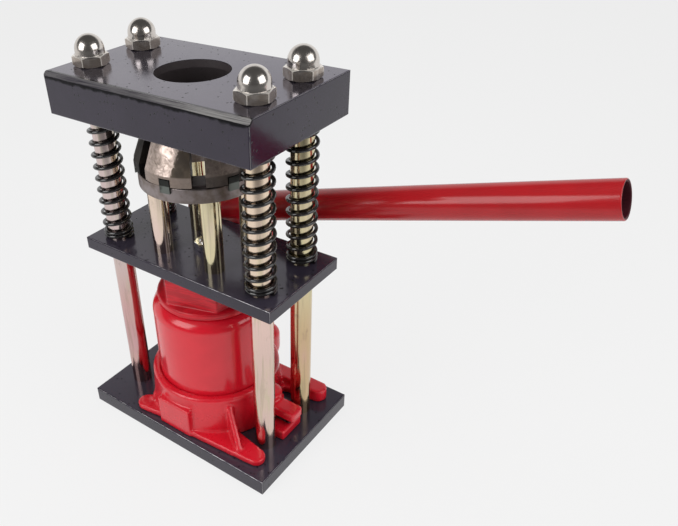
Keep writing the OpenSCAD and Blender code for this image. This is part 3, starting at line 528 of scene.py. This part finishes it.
@dataclass(frozen=True)
class BrightPlating:
    """Polished nickel plating with fine scuffs, brown below the height tarnish."""

    name: str
    tarnish: float
    bright: Colour = (0.69, 0.645, 0.605)
    dull: Colour = (0.52, 0.465, 0.415)
    brown: Colour = (0.38, 0.325, 0.28)
    # Colour of the painted highlight along the cap nuts' hexagon edges (see NutPlating).
    rubbed: Colour = (0.80, 0.75, 0.69)
    fade: float = 1.2 * MM
    relief: float = 0.012 * MM
    SMUDGE = Pattern(8 * MM, 4)
    SCUFF = Pattern(1.2 * MM, 2, stretch=(1.0, 0.2, 1.6), shift=(2, 9, 4))

    def edges(self, shader: Shader) -> Scalar:
        """Mask of the painted edge highlight: none on turned parts."""
        return 0.0

    def material(self) -> Material:
        """Builds the finish.

        Returns:
            Its material.
        """
        shader = Shader(self.name)
        smudge, scuff = shader.noise(self.SMUDGE), shader.noise(self.SCUFF)
        low = shader.axes()[2].rise(self.tarnish, self.tarnish - self.fade)
        edge = self.edges(shader)
        colour = shader.mix(smudge.rise(0.42, 0.75) * 0.6, self.bright, self.dull)
        colour = shader.mix(low * (0.55 + 0.6 * smudge.rise(0.35, 0.6)), colour, self.brown)
        # Painted highlight: edges get a bright, less metallic colour so that the lamps light them.
        colour = shader.mix(edge, colour, self.rubbed)
        return shader.dress(
            Base_Color=colour,
            Roughness=0.16 + 0.10 * smudge.rise(0.4, 0.8) + 0.05 * scuff,
            Metallic=1.0 - (low * 0.2 + 0.5 * edge),
            Normal=shader.bump(scuff * 0.5 + smudge * 0.5, self.relief),
        )


@dataclass(frozen=True)
class NutPlating(BrightPlating):
    """Plating of the four cap nuts, with a painted highlight along the edges of their hexagons.

    places are the nuts' distances from the middle. turn holds the hexagons' mean angle in degrees
    and its change to the right, to the back and with both.
    """

    places: Span = (76 * MM, 27 * MM)
    turn: Tuple[float, float, float, float] = (-17.75, -3.25, -6.25, -0.75)
    line: Span = (0.6 * MM, 0.25 * MM)
    corners: Span = (12.2 * MM, 12.8 * MM)
    cone: Span = (11.96 * MM, 11.88 * MM)
    dome: Span = (11.5 * MM, 11.7 * MM)
    top: Span = (329.49 * MM, 329.09 * MM)
    upper: Span = (324.99 * MM, 325.79 * MM)
    edge_highlight_share: float = 0.7
    HALF_SIDE = math.pi / 6

    def edges(self, shader: Shader) -> Scalar:
        """Mask of the painted highlight on the hexagons' upright edges and on the chamfer round
        their tops.

        Args:
            shader: The material that gets the nodes.

        Returns:
            1 on the edges and 0 elsewhere.
        """
        x, y, z = shader.axes()
        right, back = x.sign(), y.sign()
        across, along = x - right * self.places[0], y - back * self.places[1]
        mean, by_right, by_back, by_both = (math.radians(angle) for angle in self.turn)
        heading = along.bearing(across) - mean - right * by_right - back * by_back
        corner = (heading - right * back * by_both).fold(self.HALF_SIDE)
        radius = (across * across + along * along).root()
        upright = (corner * radius).rise(*self.line) * radius.rise(*self.corners)
        reach = radius * (self.HALF_SIDE - corner).cosine()
        chamfer = reach.rise(*self.cone) * radius.rise(*self.dome) * z.rise(*self.upper)
        return upright.most(chamfer) * z.rise(*self.top) * self.edge_highlight_share


@dataclass(frozen=True)
class RedEnamel:
    """Thick gloss enamel; on castings it follows the lumps of the sand mould.

    lumps, streaks and peel are the depths in metres of the mould's sand, of tooling marks and of
    the paint's own skin. gloss is the least roughness.
    """

    name: str
    red: Colour
    deep: Colour
    lumps: float
    gloss: float
    streaks: float = 0.0
    index: float = 1.5
    coat: float = 0.25
    peel: float = 0.012 * MM
    speck: Colour = (0.12, 0.01, 0.01)
    groove: Colour = (0.30, 0.004, 0.010)
    CLOUDS = Pattern(30 * MM, 3)
    SKIN = Pattern(1.6 * MM, 2, shift=(3, 3, 3))
    SAND = Pattern(6 * MM, 4, shift=(8, 1, 5))
    SPECKS = Pattern(9 * MM, shift=(2, 5, 7))
    TOOLING = Pattern(1.7 * MM, 2, stretch=(0.08, 0.08, 1.0), shift=(1, 2, 8))

    def material(self) -> Material:
        """Builds the finish.

        Returns:
            Its material.
        """
        shader = Shader(self.name)
        clouds, skin = shader.noise(self.CLOUDS), shader.noise(self.SKIN)
        distance, pick = shader.cells(self.SPECKS)
        specks = distance.rise(0.05, 0.02) * pick.rise(0.82, 0.86)
        colour = shader.mix(clouds.rise(0.35, 0.7) * 0.6, self.red, self.deep)
        colour = shader.mix(specks * 0.6, colour, self.speck)
        under = shader.bump(shader.noise(self.SAND), self.lumps)
        if self.streaks:
            tooling = shader.noise(self.TOOLING)
            under = shader.bump(tooling, self.streaks, under)
            colour = shader.mix(tooling.rise(0.56, 0.44) * 0.6, colour, self.groove)
        return shader.dress(
            Base_Color=colour,
            Roughness=self.gloss + 0.08 * clouds.rise(0.4, 0.75) + 0.04 * skin,
            IOR=self.index,
            Coat_Weight=self.coat,
            Coat_Roughness=0.06,
            Normal=shader.bump(skin, self.peel, under),
        )


@dataclass(frozen=True)
class RingSteel:
    """Turned bare steel with oily stains, and painted shade above the height dark_over."""

    name: str
    steel: Colour = (0.315, 0.272, 0.270)
    stain: Colour = (0.19, 0.152, 0.130)
    dark_over: float = 1.0
    shade_black: Colour = (0.018, 0.017, 0.016)
    fade: float = 0.8 * MM
    groove: float = 0.35 * MM
    relief: float = 0.012 * MM
    FEED = Pattern(0.9 * MM, 2, stretch=(0.06, 0.06, 3.0))
    BLOTCH = Pattern(13 * MM, 4, shift=(4, 4, 1))

    def material(self) -> Material:
        """Builds the finish.

        Returns:
            Its material.
        """
        shader = Shader(self.name)
        x, y, z = shader.axes()
        radius = (x * x + y * y).root()
        turned = (radius * (2 * math.pi / self.groove)).sine() * 0.5 + 0.5
        feed, blotch = shader.noise(self.FEED), shader.noise(self.BLOTCH)
        # Painted shade: the steel is painted near black above the height dark_over.
        oiled = z.rise(self.dark_over, self.dark_over + self.fade) * 0.85
        colour = shader.mix(blotch.rise(0.42, 0.68), self.steel, self.stain)
        return shader.dress(
            Base_Color=shader.mix(oiled, colour, self.shade_black),
            Roughness=0.30 + 0.14 * blotch + 0.08 * feed,
            Metallic=1.0,
            Normal=shader.bump(turned * 0.25 + feed * 0.5 + blotch * 0.25, self.relief),
        )


@dataclass(frozen=True)
class DieSteel:
    """Hardened die, black from the furnace and rubbed bare where its cone rides in the top plate.

    heading is the die's direction in radians and opened its way out from the closed place.
    foot_radius, foot and slope are the cone's radius, height and taper at its lower edge.
    """

    name: str
    heading: float
    opened: float
    foot_radius: float
    foot: float
    slope: float
    bared: float
    black: Colour = (0.011, 0.010, 0.010)
    bronze: Colour = (0.120, 0.092, 0.068)
    brown: Colour = (0.27, 0.215, 0.185)
    bare: Colour = (0.66, 0.535, 0.475)
    skin: Span = (0.5 * MM, 0.2 * MM)
    patch: Span = (6.0 * MM, 4.0 * MM)
    step: Span = (0.6 * MM, -0.6 * MM)
    lean: float = 0.25
    curl: float = 11 * MM
    index: float = 1.3
    relief: float = 0.24 * MM

    def material(self) -> Material:
        """Builds the finish.

        Returns:
            Its material.
        """
        shader = Shader(self.name)
        turn = self.heading
        smear = shader.noise(Pattern(13 * MM, 3, (1.0, 1.0, 0.6), (turn, 2, 1), swirl=0.8))
        swirl = shader.noise(Pattern(6.5 * MM, 4, shift=(1, turn, 6), swirl=2.2))
        heat = shader.noise(Pattern(17 * MM, 3, shift=(6, 1, turn)))
        x, y, z = shader.axes()
        across = x - self.opened * math.cos(turn)
        along = y - self.opened * math.sin(turn)
        radius = (across * across + along * along).root()
        side = along * math.cos(turn) - across * math.sin(turn)
        above = z - self.foot
        riding = (self.foot_radius - above.most(0.0) * self.slope - radius).rise(*self.skin)
        worn = (side - above * self.lean + (swirl - 0.5) * self.curl).rise(*self.patch)
        band = above.rise(*self.step)
        scratch = (swirl - 0.5) * 1.6 + (smear - 0.5) * 0.8
        rubbed = riding * worn * (scratch + 0.62).most(0.1).least(1.0) * self.bared
        bronzed = (0.45 + 0.55 * heat.rise(0.38, 0.62)) * (0.1 + 0.9 * self.bared)
        browned = riding * band * self.bared**2 * (0.4 + 0.6 * swirl)
        colour = shader.mix(bronzed, self.black, self.bronze)
        colour = shader.mix(band * (1.0 - self.bared), colour, self.black)
        colour = shader.mix(browned, colour, self.brown)
        colour = shader.mix(rubbed * (1.0 - 0.75 * band), colour, self.bare)
        return shader.dress(
            Base_Color=colour,
            Roughness=0.48 - 0.26 * rubbed + 0.12 * swirl,
            Metallic=0.25 + 0.75 * rubbed,
            IOR=self.index,
            Normal=shader.bump(swirl * 0.7 + smear * 0.3, self.relief),
        )


@dataclass(frozen=True)
class DarkSkin:
    """Dark surface with paler patches and a fine grain.

    patched is the noise at which a patch begins and is full. rough is the least roughness and what
    the noise, or its step over dulled, adds.
    """

    name: str
    dark: Colour
    pale: Colour
    patches: Pattern
    patched: Span
    grain: Pattern
    relief: float
    rough: Span
    share: float = 0.7
    metal: float = 0.0
    index: float = 1.5
    dulled: Optional[Span] = None

    def material(self) -> Material:
        """Builds the finish.

        Returns:
            Its material.
        """
        shader = Shader(self.name)
        patch = shader.noise(self.patches)
        dull = patch.rise(*self.dulled) if self.dulled else patch
        return shader.dress(
            Base_Color=shader.mix(patch.rise(*self.patched) * self.share, self.dark, self.pale),
            Roughness=self.rough[0] + self.rough[1] * dull,
            Metallic=self.metal,
            IOR=self.index,
            Normal=shader.bump(shader.noise(self.grain), self.relief),
        )


SPRING_BLACK = DarkSkin(
    "spring_enamel",
    dark=(0.013, 0.012, 0.012),
    pale=(0.060, 0.054, 0.048),
    patches=Pattern(5 * MM, 3),
    patched=(0.55, 0.78),
    grain=Pattern(0.8 * MM, 2, shift=(7, 3, 5)),
    relief=0.010 * MM,
    rough=(0.06, 0.08),
    metal=0.1,
    index=1.75,
    dulled=(0.4, 0.8),
)
OILED_BLACK = DarkSkin(
    "oiled_black",
    dark=(0.020, 0.020, 0.021),
    pale=(0.16, 0.155, 0.15),
    patches=Pattern(3 * MM, 4),
    patched=(0.58, 0.78),
    grain=Pattern(0.7 * MM, 2, shift=(5, 5, 5)),
    relief=0.01 * MM,
    rough=(0.30, 0.15),
    metal=0.5,
)
SEAL_RUBBER = DarkSkin(
    "seal_rubber_black",
    dark=(0.022, 0.022, 0.023),
    pale=(0.055, 0.054, 0.052),
    patches=Pattern(4 * MM, 4),
    patched=(0.5, 0.75),
    grain=Pattern(0.5 * MM, 2, shift=(2, 2, 9)),
    relief=0.02 * MM,
    rough=(0.5, 0.2),
    share=0.6,
)


def solid(name: str, build: bmesh.types.BMesh) -> Piece:
    """Turns a bmesh into an object at the origin.

    Args:
        name: Name of the object and its mesh.
        build: The shape, in metres in the model's frame; freed here.

    Returns:
        The linked object.
    """
    made = bpy.data.objects.new(name, bpy.data.meshes.new(name))
    build.to_mesh(made.data)
    build.free()
    bpy.context.scene.collection.objects.link(made)
    return made


def shade_smooth(mesh: bpy.types.Mesh) -> None:
    """Shades every face of a mesh smooth."""
    mesh.polygons.foreach_set("use_smooth", [True] * len(mesh.polygons))


def new_piece(name: str, build: bmesh.types.BMesh, sharp: float, finish: Material) -> Piece:
    """Turns a bmesh into a smooth-shaded piece.

    Args:
        name: Name of the piece.
        build: The shape; freed here.
        sharp: Angle in degrees past which an edge stays sharp.
        finish: Material of the piece.

    Returns:
        The linked piece.
    """
    piece = solid(name, build)
    shade_smooth(piece.data)
    piece.data.set_sharp_from_angle(angle=math.radians(sharp))
    piece.data.materials.append(finish)
    return piece


def paint(finish: Material, *nodes: str) -> None:
    """Gives CAD nodes their finish.

    Args:
        finish: The material.
        *nodes: Names of the nodes.
    """
    for node in nodes:
        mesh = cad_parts[node].data
        mesh.materials.clear()
        mesh.materials.append(finish)
        LOG.info("%s: %s", node, finish.name)


def eased(node: str, width: float, segments: int = 2, sharp: float = 35.0) -> None:
    """Rounds the sharp edges of a CAD node's surface so that they catch the light.

    Args:
        node: Name of the node.
        width: Width of the rounding in metres.
        segments: Steps of the rounding.
        sharp: Angle in degrees past which an edge is rounded.
    """
    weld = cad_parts[node].modifiers.new("weld", "WELD")
    weld.merge_threshold = WELD_GAP
    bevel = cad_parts[node].modifiers.new("ease", "BEVEL")
    bevel.width = width
    bevel.segments = segments
    bevel.limit_method = "ANGLE"
    bevel.angle_limit = math.radians(sharp)
    bevel.harden_normals = True


def softened(node: str, voxel: float, passes: int, pull: float = 0.5) -> Piece:
    """Copy of a CAD node with rounded edges and filled corners, as casting and paint leave them.

    Args:
        node: Name of the node.
        voxel: Grid size of the remesh in metres.
        passes: Smoothing passes; more passes make wider fillets.
        pull: Strength of one pass.

    Returns:
        The linked object, without a material.
    """
    raw = bmesh.new()
    raw.from_mesh(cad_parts[node].data)
    bmesh.ops.remove_doubles(raw, verts=raw.verts, dist=WELD_GAP)
    name = node + "_cast"
    draft = solid(name, raw)
    remesh = draft.modifiers.new("grid", "REMESH")
    remesh.mode = "VOXEL"
    remesh.voxel_size = voxel
    smooth = draft.modifiers.new("fillets", "SMOOTH")
    smooth.factor = pull
    smooth.iterations = passes
    view = bpy.context.evaluated_depsgraph_get()
    draft.data = bpy.data.meshes.new_from_object(draft.evaluated_get(view))
    draft.data.name = name
    draft.modifiers.clear()
    shade_smooth(draft.data)
    draft.data.materials.clear()
    return draft


@dataclass
class Plates:
    """Base plate, sliding table and top plate, each with its sheen and its chamfer."""

    plates: Tuple[Tuple[str, float, float], ...] = (
        ("base_plate", 0.18, 0.0),
        ("sliding_table", 0.18, 0.0),
        ("top_plate", 0.86, 3.0 * MM),
    )

    def dress(self) -> None:
        """Gives each plate a black finish fitted to its own box."""
        for node, sheen, chamfer in self.plates:
            low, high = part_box(node)
            plate = BlackPlate("black_" + node, tuple(low), tuple(high), sheen, chamfer)
            paint(plate.material(), node)


@dataclass
class ReturnSpring:
    """One coil spring between the sliding table and the top plate.

    low and high are the heights of the wire's ends, and ease the part of a turn over which the
    pitch changes.
    """

    node: str
    coil_radius: float = 11.1 * MM
    wire_radius: float = 1.5 * MM
    foot_coils: float = 2.0
    active_coils: float = 10.0
    head_coils: float = 1.0
    low: float = 177.55 * MM
    high: float = 287.44 * MM
    top_face: float = 288.99 * MM
    closed_pitch: float = 3.05 * MM
    stroke: float = 24.0 * MM
    sides: int = 12
    steps: int = 32
    ease: float = 0.5
    ease_steps: int = 8
    sharp: float = 50.0

    def runs(self) -> List[Tuple[float, float]]:
        """Stretches of the wire.

        Returns:
            Turns and pitch of each stretch, from the foot to the head, with eased changes of pitch.
        """
        closed = (self.foot_coils + self.head_coils) * self.closed_pitch
        pitch = (self.high - self.low - closed) / self.active_coils
        shares = [(k + 0.5) / self.ease_steps for k in range(self.ease_steps)]
        gain = pitch - self.closed_pitch
        open_up = [(self.ease / self.ease_steps, self.closed_pitch + s * gain) for s in shares]
        half = self.ease / 2
        foot = (self.foot_coils - half, self.closed_pitch)
        active = (self.active_coils - 2 * half, pitch)
        head = (self.head_coils - half, self.closed_pitch)
        return [foot, *open_up, active, *open_up[::-1], head]

    def build(self, finish: Material) -> Piece:
        """Sweeps the wire round the column.

        Args:
            finish: Material of the wire.

        Returns:
            The piece, riding on the frame.
        """
        low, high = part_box(self.node)
        axis_x, axis_y = (low.x + high.x) / 2, (low.y + high.y) / 2
        build = bmesh.new()
        bmesh.ops.create_circle(build, segments=self.sides, radius=self.wire_radius)
        upright = Matrix.Rotation(math.radians(90), 4, "X")
        bmesh.ops.transform(build, matrix=upright, verts=build.verts)
        bmesh.ops.translate(build, vec=(self.coil_radius, 0, self.low), verts=build.verts)
        front = list(build.verts) + list(build.edges)
        for turns, pitch in self.runs():
            steps = max(1, round(turns * self.steps))
            swept = bmesh.ops.spin(
                build,
                geom=front,
                cent=CENTRE,
                axis=UP,
                dvec=(0, 0, turns * pitch / steps),
                angle=turns * 2 * math.pi,
                steps=steps,
                use_merge=False,
            )
            last = swept["geom_last"]
            front = [part for part in last if not isinstance(part, bmesh.types.BMFace)]
        bmesh.ops.holes_fill(build, edges=[e for e in build.edges if e.is_boundary], sides=0)
        bmesh.ops.translate(build, vec=(axis_x, axis_y, 0), verts=build.verts)
        bmesh.ops.recalc_face_normals(build, faces=build.faces)
        piece = new_piece("wire_" + self.node, build, self.sharp, finish)
        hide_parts(self.node)
        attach(piece, Body.FRAME.value)
        length = self.top_face - low.z
        (length - self.stroke) / length
        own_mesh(piece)
        LOG.info("%s: %d faces", piece.name, len(piece.data.polygons))
        return piece


@dataclass
class Columns:
    """Guide columns with their nuts and screws, and the return springs round them.

    Each column has its share of yellow and the tints of its foot and its rest.
    """

    nickel: Material
    oiled: Material
    zincs: Tuple[Tuple[str, float, Colour, Colour], ...] = (
        ("front_left", 0.26, (0.86, 0.69, 0.80), (0.90, 0.97, 1.05)),
        ("front_right", 0.34, WHITE, (1.12, 1.10, 1.10)),
        ("back_left", 0.95, WHITE, (0.98, 1.05, 0.80)),
        ("back_right", 0.66, (0.90, 0.76, 0.72), WHITE),
    )
    nut_edge: float = 0.45 * MM

    def dress(self) -> None:
        """Finishes the columns and builds the springs."""
        wire = SPRING_BLACK.material()
        for corner, straw, tone, upper in self.zincs:
            zinc = YellowZinc("column_zinc_" + corner, straw, tone, upper)
            paint(zinc.material(), "column_" + corner)
            ReturnSpring("spring_" + corner).build(wire)
        # The cap nuts' plating paints a highlight along their hexagon edges.
        paint(self.nickel, "cap_nuts")
        eased("cap_nuts", self.nut_edge)
        paint(self.oiled, "column_screws")


@dataclass
class DieSet:
    """Posts, ring, keepers, the ram's nut and the six tapered dies.

    opened is how far the dies stand out at rest. Keepers get painted shade above keeper_shade_line.
    bared tells how far each die is rubbed, starting with the one at first_heading.
    """

    oiled: Material
    opened: float = 10.297 * MM
    foot_radius: float = 39.45 * MM
    foot: float = 260.29 * MM
    keeper_shade_line: float = 252.6 * MM
    keeper_steel: Colour = (0.17, 0.185, 0.17)
    keeper_stain: Colour = (0.07, 0.072, 0.066)
    nut_bright: Colour = (0.95, 0.95, 0.96)
    nut_dull: Colour = (0.84, 0.84, 0.85)
    post_tone: Colour = (1.10, 1.12, 1.15)
    cone_angle: float = 22.0
    first_heading: float = -80.0
    bared: Tuple[float, ...] = (1.0, 0.34, 0.15, 0.3, 0.25, 0.03)
    straws: Tuple[Tuple[str, float], ...] = (
        ("front_left", 0.42),
        ("front_right", 0.72),
        ("back_left", 0.8),
        ("back_right", 0.6),
    )

    def dress(self) -> None:
        """Finishes the die carrier."""
        for corner, straw in self.straws:
            zinc = YellowZinc("post_zinc_" + corner, straw, upper=self.post_tone)
            paint(zinc.material(), "post_" + corner)
        paint(RingSteel("ring_steel").material(), "die_ring")
        cone = (self.foot_radius, self.foot, math.tan(math.radians(self.cone_angle)))
        for k, bared in enumerate(self.bared):
            heading = math.radians(self.first_heading + 360 / len(self.bared) * k)
            steel = DieSteel(f"die_steel_{k + 1}", heading, self.opened, *cone, bared)
            paint(steel.material(), f"die_{k + 1}")
        # Keepers are painted near black above the ring top, as painted shade.
        keeper = RingSteel("keeper_steel", self.keeper_steel, self.keeper_stain, self.keeper_shade_line)
        paint(keeper.material(), "die_keepers")
        paint(self.oiled, "post_lower_screws", "post_upper_screws")
        nut = BrightPlating("ram_nut_nickel", 0.0, self.nut_bright, self.nut_dull)
        paint(nut.material(), "ram_nut")


@dataclass
class Jack:
    """Bottle jack: cast base, tank, nut, ram, pump and the small parts inside."""

    nickel: Material
    oiled: Material
    voxel: float = 1.05 * MM
    passes: int = 7
    fine_voxel: float = 0.7 * MM
    fine_passes: int = 4
    red: Colour = (0.60, 0.008, 0.021)
    deep: Colour = (0.52, 0.006, 0.017)

    def cast(self, node: str, body: Body, finish: Material, fine: bool = True) -> Piece:
        """Stands a softened casting in a node's place.

        Args:
            node: Name of the node.
            body: Body that carries it.
            finish: Its enamel.
            fine: Whether edges stay tight.

        Returns:
            The piece.
        """
        voxel, passes = (self.fine_voxel, self.fine_passes) if fine else (self.voxel, self.passes)
        piece = softened(node, voxel, passes)
        piece.data.materials.append(finish)
        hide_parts(node)
        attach(piece, body.value)
        LOG.info("%s: %d faces", piece.name, len(piece.data.polygons))
        return piece

    def dress(self) -> None:
        """Finishes the jack."""
        cast_red = RedEnamel("cast_red", self.red, self.deep, 0.12 * MM, 0.24).material()
        tank_red = RedEnamel("tank_red", self.red, self.deep, 0.02 * MM, 0.15).material()
        nut = RedEnamel(
            "nut_red", self.deep, self.deep, 0.05 * MM, 0.30, streaks=0.35 * MM, index=1.4, coat=0.1
        )
        self.cast("jack_base", Body.FRAME, cast_red, fine=False)
        self.cast("tank_nut", Body.FRAME, nut.material())
        self.cast("fulcrum_post", Body.FRAME, cast_red)
        self.cast("handle_socket", Body.LEVER, cast_red)
        rubber = SEAL_RUBBER.material()
        plain = RingSteel("valve_steel").material()
        paint(tank_red, "oil_tank", "pump_barrel")
        paint(self.nickel, "ram", "pump_plunger", "fulcrum_pin", "plunger_pin")
        paint(self.oiled, "jack_screws", "release_screw", "pin_clips")
        paint(rubber, "tank_gasket", "filler_plug", "ram_wiper", "pump_seal", "piston_seal")
        paint(plain, "pressure_cylinder", "release_ball", "check_ball")


@dataclass
class Handle:
    """Tube of the pump handle, with rolled rims and a bore painted dark as painted shade."""

    start: Triple = (-59.761 * MM, 66.5 * MM, 167.700 * MM)
    tilt: float = 16.6
    length: float = 358.0 * MM
    outer: float = 13.0 * MM
    wall: float = 2.0 * MM
    rim: float = 0.8 * MM
    rim_steps: int = 4
    bore_share: float = 0.6
    steps: int = 96
    sharp: float = 40.0
    red: Colour = (0.38, 0.011, 0.015)
    deep: Colour = (0.31, 0.009, 0.012)
    bore_shade_red: Colour = (0.055, 0.006, 0.012)
    RIM_ANGLE = math.radians(60)

    def tube(self) -> bmesh.types.BMesh:
        """Turns the tube with rolled rims, upright at the origin.

        Returns:
            The shape, with the second material in its bore.
        """
        build = bmesh.new()
        inner = self.outer - self.wall
        corners = ((inner, 0), (self.outer, 0), (self.outer, self.length), (inner, self.length))
        section = [build.verts.new((radius, 0, height)) for radius, height in corners]
        edges = [build.edges.new((section[k - 1], section[k])) for k in (1, 2, 3, 0)]
        bmesh.ops.spin(
            build,
            geom=section + edges,
            cent=CENTRE,
            axis=UP,
            angle=2 * math.pi,
            steps=self.steps,
            use_merge=True,
        )
        bmesh.ops.remove_doubles(build, verts=build.verts, dist=WELD_GAP)
        rims = [edge for edge in build.edges if self.is_rim(edge)]
        bmesh.ops.bevel(
            build,
            geom=rims,
            offset=self.rim,
            segments=self.rim_steps,
            profile=0.5,
            affect="EDGES",
            material=-1,
        )
        # Faces in the bore take the second material: painted shade, a near-black maroon.
        border = inner + self.bore_share * self.wall
        for face in build.faces:
            face.material_index = int(face.calc_center_median().to_2d().length < border)
        return build

    def is_rim(self, edge: bmesh.types.BMEdge) -> bool:
        """Whether an edge is level and two faces meet at it at a right angle."""
        level = abs(edge.verts[0].co.z - edge.verts[1].co.z) < MM
        return level and len(edge.link_faces) == 2 and edge.calc_face_angle(0.0) > self.RIM_ANGLE

    def build(self) -> Piece:
        """Lays the tube along the handle's axis.

        Returns:
            The piece, riding on the lever.
        """
        build = self.tube()
        turn = Matrix.Rotation(math.radians(90 - self.tilt), 4, "Y")
        place = Matrix.Translation(self.start) @ turn
        bmesh.ops.transform(build, matrix=place, verts=build.verts)
        bmesh.ops.recalc_face_normals(build, faces=build.faces)
        enamel = RedEnamel(
            "handle_red_enamel",
            self.red,
            self.deep,
            lumps=0.003 * MM,
            gloss=0.15,
            index=1.4,
            coat=0.10,
            peel=0.004 * MM,
        )
        # Painted shade: the bore's enamel is near black, darker than the tube.
        bore = RedEnamel(
            "handle_bore_shade", self.bore_shade_red, self.bore_shade_red, 0.02 * MM, 0.45, index=1.3, coat=0.0
        )
        piece = new_piece("handle_rolled_tube", build, self.sharp, enamel.material())
        piece.data.materials.append(bore.material())
        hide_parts("handle_tube")
        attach(piece, Body.LEVER.value)
        LOG.info("%s: %d faces", piece.name, len(piece.data.polygons))
        return piece


@dataclass(frozen=True)
class SoftBox:
    """Rectangular lamp with its power in watts; polished surfaces mirror a glossy one."""

    name: str
    place: Triple
    size: Span
    power: float
    glossy: bool = True

    def hang(self, aim: Triple) -> None:
        """Adds the lamp to the scene.

        Args:
            aim: Point that it faces.
        """
        data = bpy.data.lights.new(self.name, "AREA")
        data.shape = "RECTANGLE"
        data.size, data.size_y = self.size
        data.energy = self.power
        lamp = bpy.data.objects.new(self.name, data)
        lamp.location = self.place
        lamp.rotation_mode = "QUATERNION"
        heading = Vector(aim) - Vector(self.place)
        lamp.rotation_quaternion = heading.to_track_quat("-Z", "Y")
        lamp.visible_camera = False
        lamp.visible_glossy = self.glossy
        bpy.context.scene.collection.objects.link(lamp)


@dataclass
class Studio:
    """Pale floor, soft boxes and the camera.

    pale and room are the brightness of the sweep behind the press and of the room in front of it.
    """

    eye: Triple = (336.3 * MM, -363.1 * MM, 465.0 * MM)
    forward: Triple = (-0.5179, 0.6364, -0.5716)
    right: Triple = (0.7911, 0.6106, -0.0371)
    sensor: float = 36.0
    lens: float = 36.476
    shift: Span = (0.1346, 0.0536)
    clip: Span = (0.02, 60.0)
    pale: float = 0.888
    room: float = 0.08
    ceiling: float = 1.0
    sweep: Span = (-0.10, 0.20)
    paper: float = 0.88
    glow: float = 0.9
    ambient: float = 0.42
    front: Span = (-0.75, -0.35)
    floor_size: float = 30.0
    aim: Triple = (0.0, 0.0, 0.18)
    boxes: Tuple[SoftBox, ...] = (
        SoftBox("left_box", (-0.38, -1.04, 0.80), (0.80, 0.85), 8.5),
        SoftBox("right_box", (1.10, 0.08, 0.80), (0.95, 0.80), 6.0),
        SoftBox("high_box", (0.1, -0.2, 1.7), (1.2, 1.2), 9.0, glossy=False),
    )

    def behind(self, x: Field, y: Field) -> Field:
        """Level distance of a point past the origin, away from the camera."""
        away = Vector(self.forward).to_2d().normalized()
        return x * away.x + y * away.y

    def camera(self) -> None:
        """Sets the camera to the photograph's viewpoint."""
        ahead = Vector(self.forward).normalized()
        side = Vector(self.right)
        side = (side - side.dot(ahead) * ahead).normalized()
        above = side.cross(ahead)
        data = bpy.data.cameras.new("camera")
        data.sensor_width, data.lens = self.sensor, self.lens
        data.shift_x, data.shift_y = self.shift
        data.clip_start, data.clip_end = self.clip
        camera = bpy.data.objects.new("camera", data)
        pose = Matrix((side, above, -ahead)).transposed().to_4x4()
        pose.translation = self.eye
        camera.matrix_world = pose
        bpy.context.scene.collection.objects.link(camera)
        bpy.context.scene.camera = camera

    def world(self) -> None:
        """White sweep behind the press, a dark room in front and above, and a plain grey light."""
        world = bpy.data.worlds.new("studio")
        bpy.context.scene.world = world
        tree = Tree(world)
        x, y, z = tree.split(tree.space("Generated"))
        sweep = (self.behind(x, y) - z * self.ceiling).rise(*self.sweep)
        shown = sweep * (self.pale - self.room) + self.room
        shown = shown.most(tree.ray("Is Camera Ray") * self.pale)
        seen = tree.node("ShaderNodeBackground", {"Color": shown})
        light = tree.node("ShaderNodeBackground", {"Color": WHITE, "Strength": self.ambient})
        inputs = {0: tree.seen(), 1: light.outputs[0], 2: seen.outputs[0]}
        mix = tree.node("ShaderNodeMixShader", inputs)
        tree.node("ShaderNodeOutputWorld", {"Surface": mix.outputs[0]})

    def floor(self) -> None:
        """Wide pale floor that keeps a faint shadow."""
        build = bmesh.new()
        bmesh.ops.create_grid(build, x_segments=1, y_segments=1, size=self.floor_size)
        floor = solid("floor", build)
        paper = bpy.data.materials.new("pale_paper")
        tree = Tree(paper)
        x, y, _ = tree.split(tree.space())
        shown = (self.behind(x, y).rise(*self.front) * self.pale).most(self.room)
        shown = shown.most(tree.ray("Is Camera Ray") * self.pale)
        lit = tree.node("ShaderNodeBsdfDiffuse", {"Color": (self.paper,) * 3})
        glow = tree.node("ShaderNodeEmission", {"Color": shown})
        inputs = {0: tree.seen() * self.glow, 1: lit.outputs[0], 2: glow.outputs[0]}
        mix = tree.node("ShaderNodeMixShader", inputs)
        tree.node("ShaderNodeOutputMaterial", {"Surface": mix.outputs[0]})
        floor.data.materials.append(paper)

    def build(self) -> None:
        """Makes the camera, the world, the floor and the lamps."""
        self.camera()
        self.world()
        self.floor()
        for box in self.boxes:
            box.hang(self.aim)
        bpy.context.scene.view_settings.view_transform = "Standard"


def main() -> None:
    """Builds the scene in order."""
    logging.basicConfig(level=logging.INFO, format="%(name)s %(message)s")
    Studio().build()
    nickel = BrightPlating(
        "bright_nickel", tarnish=0.0, bright=(0.80, 0.775, 0.75), dull=(0.62, 0.585, 0.56)
    ).material()
    capped = NutPlating("cap_nut_nickel", tarnish=328.6 * MM).material()
    oiled = OILED_BLACK.material()
    Plates().dress()
    Columns(capped, oiled).dress()
    DieSet(oiled).dress()
    Jack(nickel, oiled).dress()
    Handle().build()


if __name__ == "__main__":
    main()
